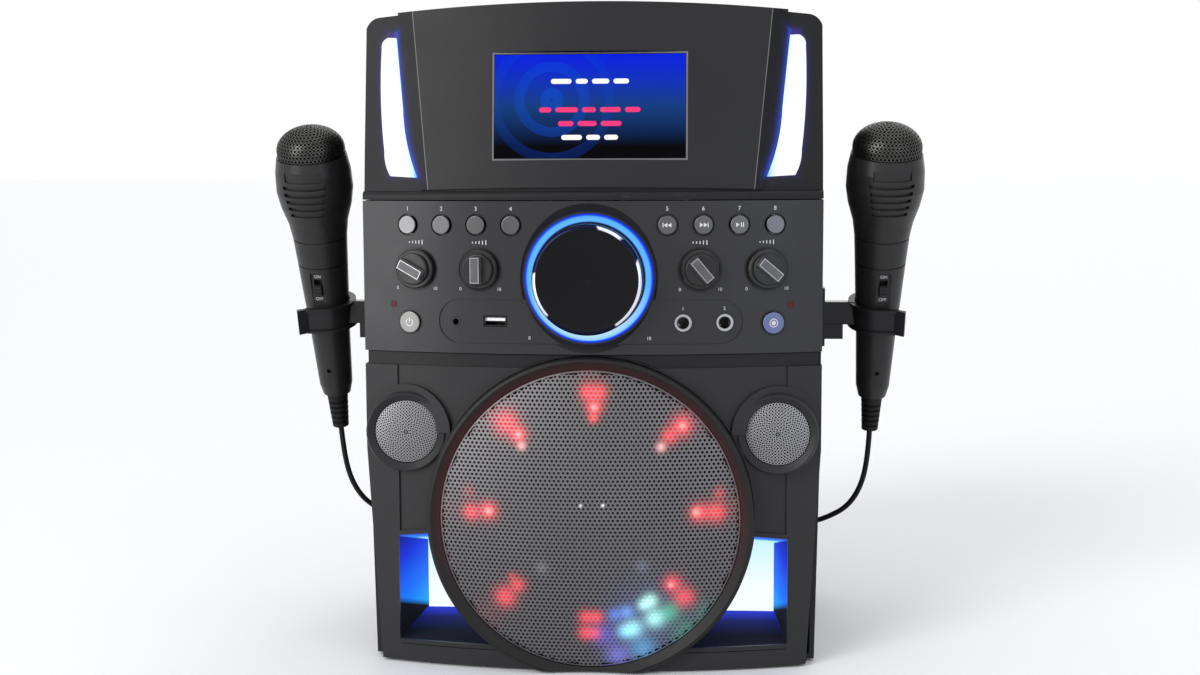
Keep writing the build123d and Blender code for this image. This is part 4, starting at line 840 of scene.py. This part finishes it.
# ---- screen picture
def screen_material(height, low):
    """Blue to black fade with faint rings of a lighter blue, off to the left."""
    material = moulded("screen_picture", (0.001, 0.001, 0.002), 0.3, 900.0, 0.0, shine=0.03)
    x, _, z = position(material)
    rise = (z - low) / height
    fade = ramp(rise, (0.12, (0.0, 0.0, 0.0)), (0.5, (0.006, 0.045, 0.21)), (1.0, (0.0, 0.012, 0.78)))
    away = length(x + 22 * MM, z - (low + 34 * MM))
    band = (away * (2 * pi / (15 * MM))).work("SINE").above(0.35)
    near = away.share(46 * MM, -46 * MM)
    shine_through(material, mixed(band * near * 0.4, fade, (0.0, 0.09, 0.75)))
    return material


def add_screen():
    """Lit picture on the display, and bars in the place of lines of words."""
    width, height = 110.6 * MM, 60.2 * MM
    centre = head_frame(0, SCREEN_RISE, -3.15 * MM)
    picture = FlatPiece()
    picture.bar(centre, 0, 0, width, height)
    low = (centre @ Vector((0, -height / 2, 0))).z
    picture.finish("screen_picture", screen_material(height, low), "screen_glass", smooth=True)

    white = glowing("screen_white", (1.0, 1.0, 1.0))
    pink = glowing("screen_pink", (1.0, 0.03, 0.2))
    thick, gap = 2.9, 2.4
    lines = (
        # height above the middle, lengths of the bars in a line, and their paint
        (14.5, (12.0, 7.0, 10.0, 9.0), white),
        (-2.0, (7.0, 13.0, 8.0, 12.0, 9.0), pink),
        (-10.0, (9.0, 11.0, 12.0), pink),
        (-18.0, (12.0, 8.0, 8.0), white),
    )
    place = head_frame(0, SCREEN_RISE, -3.05 * MM)
    for index, (y, lengths, shade) in enumerate(lines):
        line = FlatPiece()
        x = -(sum(lengths) + gap * (len(lengths) - 1)) / 2
        for bar in lengths:
            line.round_bar(place, (x + bar / 2) * MM, y * MM, bar * MM, thick * MM)
            x += bar + gap
        line.finish(f"screen_line_{index + 1}", shade, "screen_glass", smooth=True)


# ---- printed marks and symbols
PRINT_LIFT = 0.13 * MM
SMALL_PRINT = 2.7 * MM
BUTTON_RISE = 1.5 * MM
SOCKET_PLATE = -0.8 * MM
TICK_GAP = 2.0 * MM


def add_marks(white):
    """Numbers and small plain marks by the controls, in white print."""
    for index, x in enumerate(BUTTON_X):
        place = front_frame(x, BUTTON_ROW + 9.3 * MM, PRINT_LIFT)
        words_piece(f"button_number_{index + 1}", str(index + 1), place, 3.4 * MM, white)
    for index, x in enumerate(KNOB_X):
        for value, shift in (("0", -11.5 * MM), ("10", 11.5 * MM)):
            place = front_frame(x + shift, KNOB_ROW - 11.4 * MM, PRINT_LIFT)
            words_piece(f"knob_{index + 1}_mark_{value}", value, place, SMALL_PRINT, white)
        ticks = FlatPiece()
        place = front_frame(x, KNOB_ROW + 15.6 * MM, PRINT_LIFT)
        for tick in range(5):
            ticks.bar(place, (tick - 2) * TICK_GAP, 0, 0.55 * MM, (1.0 + 0.4 * tick) * MM)
        ticks.finish(f"knob_{index + 1}_ticks", white, "clear_light")
    for value, x in (("0", -34.5 * MM), ("10", 34.5 * MM)):
        place = front_frame(x, 197.6 * MM, PRINT_LIFT)
        words_piece(f"volume_mark_{value}", value, place, SMALL_PRINT, white)
    for index, x in enumerate(JACK_X):
        place = front_frame(x, SOCKET_ROW + 8.0 * MM, SOCKET_PLATE + PRINT_LIFT)
        words_piece(f"jack_mark_{index + 1}", str(index + 1), place, SMALL_PRINT, white)


def add_knob_edge_highlights(bright):
    """Fine bright metal line round the top of each knob's pointer bar: a painted highlight on the bar's edge.
    """
    wide, tall, line = 5.2 * MM, 14.6 * MM, 0.34 * MM
    for index, (x, turn) in enumerate(zip(KNOB_X, KNOB_TURNS)):
        place = front_frame(x, KNOB_ROW, 11.05 * MM, radians(turn))
        edge_highlights = FlatPiece()
        # Painted highlight: bright metal strips where light catches the bar's edges.
        for way in (-1, 1):
            edge_highlights.bar(place, way * (wide - line) / 2, 0, line, tall)
            edge_highlights.bar(place, 0, way * (tall - line) / 2, wide - 2 * line, line)
        name = f"knob_{index + 1}"
        edge_highlights.finish(f"{name}_edges", bright, "chrome", body=name)


def add_button_symbols(white):
    """Transport symbols on three buttons, a standby mark and a dot on the two larger ones."""
    transport = (
        # number of the button, x of its triangles and which way they point, then x and width of its bars
        (5, (-1.1, 1.2), -1, (-2.5,), 0.5),
        (6, (-1.2, 1.1), 1, (2.5,), 0.5),
        (7, (-1.2,), 1, (0.9, 2.1), 0.6),
    )
    for number, triangles, way, bars, width in transport:
        place = front_frame(BUTTON_X[number - 1], BUTTON_ROW, BUTTON_RISE + PRINT_LIFT)
        symbol = FlatPiece()
        for x in triangles:
            symbol.triangle(place, x * MM, 2.1 * MM, way)
        for x in bars:
            symbol.bar(place, x * MM, 0, width * MM, 2.6 * MM)
        name = f"button_{number}"
        symbol.finish(f"{name}_symbol", white, "gloss_black", body=name)
    place = front_frame(-KEY_X, KEY_ROW, BUTTON_RISE + PRINT_LIFT)
    standby = FlatPiece()
    standby.ring(place, 2.1 * MM, 0.6 * MM, radians(125), radians(415))
    standby.bar(place, 0, 1.7 * MM, 0.6 * MM, 2.5 * MM)
    standby.finish("power_symbol", white, "clear_light", body="power_button")
    place = front_frame(KEY_X, KEY_ROW, BUTTON_RISE + PRINT_LIFT)
    dot = FlatPiece()
    dot.ring(place, 2.3 * MM, 0.5 * MM)
    dot.ring(place, 0.65 * MM, 1.3 * MM)
    dot.finish("record_symbol", white, "clear_light", body="record_button")


def add_switch_words(side, name, white):
    """ON and OFF on a microphone's switch plate."""
    for words, height in (("ON", 108.3 * MM), ("OFF", 93.6 * MM)):
        place = microphone_frame(side) @ Matrix.Translation((0, -13.36 * MM, height))
        place = place @ Matrix.Rotation(pi / 2, 4, "X")
        words_piece(f"{name}_{words.lower()}", words, place, 2.8 * MM, white, name)


# ---- materials of the CAD nodes
def volume_knob_material():
    """Black face in a chrome rim painted dark blue-black as a reflection, with painted white glints on its
    front edge.
    """
    face_radius, edge = 29.3 * MM, 0.3 * MM
    # Painted reflection: the chrome rim is given a dark blue-black colour.
    face, rim, painted_glint_color = (0.004, 0.004, 0.005), (0.010, 0.012, 0.035), (0.75, 0.80, 0.90)
    material = moulded("volume_knob", rim, 0.2, 1400.0, 0.05, shine=0.12)
    x, y, z = position(material)
    share = length(x, z - VOLUME_ROW).share(face_radius, edge)
    # Painted glints: white noise patches on the rim's front edge stand in for reflections.
    painted_glint_mask = noise(material, 55.0, 0.0).share(0.56, 0.04)
    painted_glint_mask = painted_glint_mask * y.below(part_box("master_volume_knob")[0].y + 1.8 * MM)
    set_input(material, "Base Color", mixed(share, face, mixed(painted_glint_mask, rim, painted_glint_color)))
    set_input(material, "Metallic", share)
    set_input(material, "Roughness", share * -0.1 + 0.3)
    return material


def knob_material(name, x):
    """Dark knob whose pointer bar is a frosted grey, split by height above the front."""
    dark = (0.010, 0.010, 0.010)
    material = moulded(name, dark, 0.28, 1400.0, 0.1, shine=0.35)
    matrix = front_frame(x, KNOB_ROW)
    normal = matrix.to_3x3() @ Vector((0, 0, 1))
    dot = material.node_tree.nodes.new("ShaderNodeVectorMath")
    dot.operation = "DOT_PRODUCT"
    dot.inputs[1].default_value = normal
    feed(dot.inputs[0], object_coordinates(material))
    height = Number(dot.outputs["Value"]) - normal.dot(matrix.translation)
    frosted = mixed(noise(material, 160.0), (0.06, 0.06, 0.062), (0.12, 0.12, 0.122))
    set_input(material, "Base Color", mixed(height.share(6.6 * MM, 0.4 * MM), dark, frosted))
    return material


def fascia_material():
    """Satin charcoal, with painted shade as black rings in the gaps round the buttons and the knobs."""
    material = moulded("satin_fascia", (0.019, 0.019, 0.021), 0.3, shine=0.32)
    x, _, z = position(material)
    holes = [(button, BUTTON_ROW, 6.6 * MM) for button in BUTTON_X]
    holes += [(side * KEY_X, KEY_ROW, 7.6 * MM) for side in (-1, 1)]
    holes += [(knob, KNOB_ROW, 12.9 * MM) for knob in KNOB_X]
    nearest = None
    for place, row, radius in holes:
        away = length(x - place, z - row) - radius
        nearest = away if nearest is None else nearest.work("MINIMUM", away)
    plain = mixed(noise(material, 14.0, 4.0), (0.016, 0.016, 0.018), (0.022, 0.022, 0.024))
    # Painted shade: near-black in the gaps round the buttons, the two keys and the knobs.
    set_input(material, "Base Color", mixed(nearest.above(0.0), (0.003, 0.003, 0.003), plain))
    return material


def socket_material():
    """Chrome rings round black bores, a black line-in and a dark USB shell with a pale tongue."""
    chrome = (0.40, 0.40, 0.42)
    material = metal("sockets", chrome)
    x, _, z = position(material)
    rise = z - SOCKET_ROW
    dark = x.below(0.0)
    for jack in JACK_X:
        dark = dark.larger(length(x - jack, rise).below(3.6 * MM))
    tongue = x.between(-60.8 * MM, -49.0 * MM) * rise.between(0.6 * MM, 2.6 * MM)
    color = mixed(dark, chrome, (0.004, 0.004, 0.004))
    set_input(material, "Base Color", mixed(tongue, color, (0.8, 0.8, 0.8)))
    set_input(material, "Metallic", 1.0 - dark)
    return material


def board_material():
    """Green circuit board with dark red lamps at its sides."""
    green = (0.02, 0.09, 0.04)
    material = moulded("control_circuit_board", green, 0.4)
    x, y, z = position(material)
    lamp = abs(x).between(113.0 * MM, 119.0 * MM) * z.between(213.9 * MM, 218.5 * MM)
    lamp = lamp * y.below(FRONT + 26.5 * MM)
    set_input(material, "Base Color", mixed(lamp, green, (0.045, 0.002, 0.004)))
    shine_through(material, scaled((0.03, 0.0005, 0.001), lamp))
    return material


def glow_ring_material():
    """Light of the volume ring: pale cyan in its middle, deep blue at its edge, whiter low down."""
    material = moulded("volume_glow", (0.004, 0.004, 0.008), 0.4, 900.0, 0.02, shine=0.1)
    x, _, z = position(material)
    rise = z - VOLUME_ROW
    share = length(x, rise).share(32.4 * MM, 5.0 * MM)
    color = ramp(
        share,
        (0.0, (0.03, 0.16, 1.0)),
        (0.18, (0.12, 0.50, 1.0)),
        (0.62, (0.10, 0.45, 1.0)),
        (0.78, (0.008, 0.08, 1.0)),
        (1.0, (0.0, 0.015, 0.45)),
    )
    low = rise.share(-4 * MM, -34 * MM)
    inner = share.share(0.75, -0.75)
    shine_through(material, mixed(low * inner.root(), color, (0.60, 0.88, 1.0)))
    return material


def trim_ring_material():
    """Satin black woofer ring with faint painted red light on its inner bevel."""
    material = moulded("woofer_trim", (0.010, 0.010, 0.010), 0.42, shine=0.22)
    x, _, z = position(material)
    rise = z - WOOFER_Z
    inner = length(x, rise).share(93.5 * MM, -6 * MM)
    upper = rise.share(-50 * MM, 50 * MM)
    # Painted light: red glow of the woofer's lights on the upper inner bevel.
    shine_through(material, scaled((0.035, 0.002, 0.004), inner * upper))
    return material


def pocket_light(rear, rise, x, y, z):
    """Painted light on the walls, the drum, the ceiling and the floor inside the lit pockets."""
    wall = ramp(
        rise,
        (0.0, (0.01, 0.42, 1.0)),
        (0.35, (0.008, 0.17, 1.0)),
        (0.7, (0.008, 0.035, 0.72)),
        (1.0, (0.008, 0.006, 0.18)),
    )
    # Painted shade of the sill on the wall, more so towards the front.
    wall = scaled(wall, (z + rear * (22 * MM)).share(37 * MM, 4 * MM))
    drum = ramp(rear, (0.0, (0.003, 0.006, 0.08)), (1.0, (0.02, 0.12, 0.7)))
    ceiling = ramp(rear, (0.0, (0.02, 0.06, 0.7)), (0.6, (0.05, 0.28, 1.0)), (1.0, (0.39, 0.88, 0.98)))
    floor = ramp(rear, (0.3, (0.001, 0.001, 0.004)), (0.7, (0.004, 0.006, 0.10)), (1.0, (0.01, 0.03, 0.62)))
    light = mixed(abs(x).above(108 * MM), drum, wall)
    light = mixed((z + (y - FRONT) * 0.25).above(80.7 * MM), light, ceiling)
    return mixed(z.below(15 * MM), light, floor)


def speaker_frame_material():
    """Charcoal speaker front, with painted blue light inside the pockets and painted shade under the fascia.
    """
    material = moulded("speaker_frame", (0.022, 0.022, 0.023), 0.4, shine=0.22)
    x, y, z = position(material)
    behind_bow = y + (FRONT_RADIUS**2 - x * x).root() - (FRONT + FRONT_RADIUS)
    within = behind_bow.above(1.9 * MM) * abs(x).between(50 * MM, 118.6 * MM)
    within = within * z.between(14.0 * MM, 83.5 * MM) * length(x, z - WOOFER_Z).above(92 * MM)
    rear = (y - FRONT).share(12 * MM, 76 * MM)
    rise = z.share(14.3 * MM, 66 * MM)
    # Painted light: the pocket insides glow blue, standing in for the pocket panels' light.
    shine_through(material, scaled(pocket_light(rear, rise, x, y, z), within))
    # Painted shade: near-black under the fascia's overhang, and inside the pockets beneath their painted
    # light.
    dark = within.larger(z.above(180.0 * MM) * 0.7)
    plain = mixed(noise(material, 14.0, 4.0), (0.017, 0.017, 0.018), (0.024, 0.024, 0.025))
    set_input(material, "Base Color", mixed(dark, plain, (0.003, 0.003, 0.004)))
    set_input(material, "Roughness", within * 0.5 + 0.4)
    return material


def window_spill(material):
    """Adds the side lights' blue cast to the mouldings close round them."""
    x, _, z = position(material)
    side = abs(x)
    rise = (z - 283 * MM) / (99 * MM)

    def edge(span, *points):
        # Line of one of the window's long edges: distance from the middle by height.
        stops = [(height, (share, share, share)) for height, share in points]
        return Number(ramp(rise, *stops)) * span + 100 * MM

    inner = edge(20 * MM, (0.086, 0.08), (0.28, 0.40), (0.5, 0.545), (0.918, 0.76))
    outer = edge(40 * MM, (0.102, 0.47), (0.25, 0.565), (0.55, 0.625), (0.86, 0.62), (0.923, 0.5125))
    from_inner = inner - side
    away = from_inner.larger(side - outer).larger(291.3 * MM - z).larger(z - 374.7 * MM)
    color = mixed(from_inner.share(-2 * MM, 2 * MM), (0.020, 0.010, 0.16), (0.010, 0.045, 0.52))
    fall = (away.larger(0.0) / (-1.15 * MM)).work("EXPONENT")
    shine_through(material, scaled(color, fall))


def cover_material():
    """Raised cover: dark grey middle, near-black side bands, a fine silver line between them."""
    material = moulded("head_cover", (0.017, 0.017, 0.018), 0.42, shine=0.18)
    x, _, z = position(material)
    past = abs(x) - ((z - 284.6 * MM) * 0.1 + 95.1 * MM)
    plain = mixed(noise(material, 14.0, 4.0), (0.014, 0.014, 0.015), (0.020, 0.020, 0.021))
    grey = mixed(past.above(0.0), plain, (0.003, 0.003, 0.004))
    set_input(material, "Base Color", mixed(abs(past).below(0.24 * MM), grey, (0.15, 0.15, 0.15)))
    window_spill(material)
    return material


def window_material():
    """Side lights: white with a lilac cast, cyan near the inner edge and violet at the rim."""
    material = moulded("side_light", (0.05, 0.05, 0.06), 0.25, 900.0, 0.02)
    x, _, z = position(material)
    past = abs(x) - (z - 291.5 * MM) * 0.13
    light = ramp(
        past.share(102 * MM, 22 * MM),
        (0.0, (0.06, 0.2, 1.0)),
        (0.10, (0.5, 0.9, 1.0)),
        (0.28, (1.0, 1.0, 1.0)),
        (0.82, (0.98, 0.97, 1.0)),
        (1.0, (0.35, 0.30, 1.0)),
    )
    shine_through(material, light)
    return material


def pocket_panel_material():
    """Lit sheet at the back of a pocket: white low down, cyan higher up."""
    material = moulded("pocket_panel", (0.02, 0.02, 0.02), 0.4, 900.0, 0.02)
    rise = position(material)[2].share(16 * MM, 60 * MM)
    shine_through(material, ramp(rise, (0.25, (0.93, 1.0, 1.0)), (1.0, (0.40, 0.86, 1.0))))
    return material


def dress_frame():
    """Materials of every CAD node that stays; gives back the rubber for the cords."""
    charcoal = moulded("charcoal_plastic", (0.022, 0.022, 0.023), 0.42, shine=0.2)
    head = moulded("head_plastic", (0.012, 0.012, 0.013), 0.42, shine=0.15)
    window_spill(head)
    black = moulded("black_plastic", (0.012, 0.012, 0.013), 0.34)
    rubber = moulded("dark_rubber", (0.010, 0.010, 0.010), 0.62, 900.0, 0.4, shine=0.2)
    steel = metal("steel", (0.42, 0.42, 0.43), 0.35)
    looks = {
        "cabinet_shell": charcoal,
        "rear_panel": charcoal,
        "front_frame": speaker_frame_material(),
        "screen_head": head,
        "screen_cover": cover_material(),
        "head_light_windows": window_material(),
        "control_fascia": fascia_material(),
        "woofer_ring": trim_ring_material(),
        "pocket_light_panels": pocket_panel_material(),
        "rear_sockets": black,
        "light_show_leds": moulded("dark_light", (0.05, 0.05, 0.055), 0.4),
        "woofer_basket": steel,
        "woofer_cone": moulded("paper_cone", (0.02, 0.02, 0.02), 0.85, 700.0, 0.7),
        "tweeters": black,
        "front_sockets": socket_material(),
        "control_board": board_material(),
        "main_board": moulded("circuit_board", (0.02, 0.09, 0.04), 0.5),
        "potentiometers": steel,
        "display": moulded("display_glass", (0.004, 0.004, 0.006), 0.2, relief=0.0, shine=0.15),
        "screen_bezel": metal("screen_trim", (0.16, 0.16, 0.165), 0.35),
        "feet": rubber,
        "screws": steel,
        "disc_tray": black,
        "disc_drive": steel,
        "disc_lid": charcoal,
        "turntable": black,
        "laser_sled": black,
        "mic_clips": black,
        "power_button": metal("power_button", (0.17, 0.17, 0.165), 0.34),
        "record_button": metal("record_button", (0.13, 0.15, 0.27), 0.34),
        "master_volume_knob": volume_knob_material(),
        "volume_light_ring": glow_ring_material(),
    }
    silver_cap = metal("silver_button", (0.12, 0.12, 0.122), 0.24)
    for index in range(len(BUTTON_X)):
        looks[f"button_{index + 1}"] = silver_cap
    for index, x in enumerate(KNOB_X):
        looks[f"knob_{index + 1}"] = knob_material(f"knob_{index + 1}", x)
    mic_black = moulded("microphone_plastic", (0.015, 0.015, 0.015), 0.36, shine=0.3)
    chrome = metal("chrome", (0.6, 0.6, 0.62), 0.15)
    for _, name in MICROPHONES:
        looks |= {f"{name}_body": mic_black, f"{name}_switch": black, f"{name}_boot": rubber}
        looks[f"{name}_plug"] = chrome
    for node, material in looks.items():
        paint(node, material)
    return rubber


add_camera()
add_stage()
cord_rubber = dress_frame()
for side, name in MICROPHONES:
    add_cord(side, name, cord_rubber)
add_woofer_grille()
add_tweeter_grilles()
mesh_steel = metal("microphone_steel", (0.085, 0.085, 0.08), 0.36)
mic_foam = moulded("microphone_foam", (0.008, 0.008, 0.008), 0.95, 500.0, 0.8)
for side, name in MICROPHONES:
    add_microphone_head(side, name, mesh_steel, mic_foam)
add_screen()
print_white = moulded("white_print", (0.62, 0.62, 0.62), 0.5, relief=0.02)
add_marks(print_white)
add_knob_edge_highlights(metal("pointer_edge_highlight", (0.42, 0.42, 0.44), 0.3))
add_button_symbols(print_white)
for side, name in MICROPHONES:
    add_switch_words(side, name, print_white)
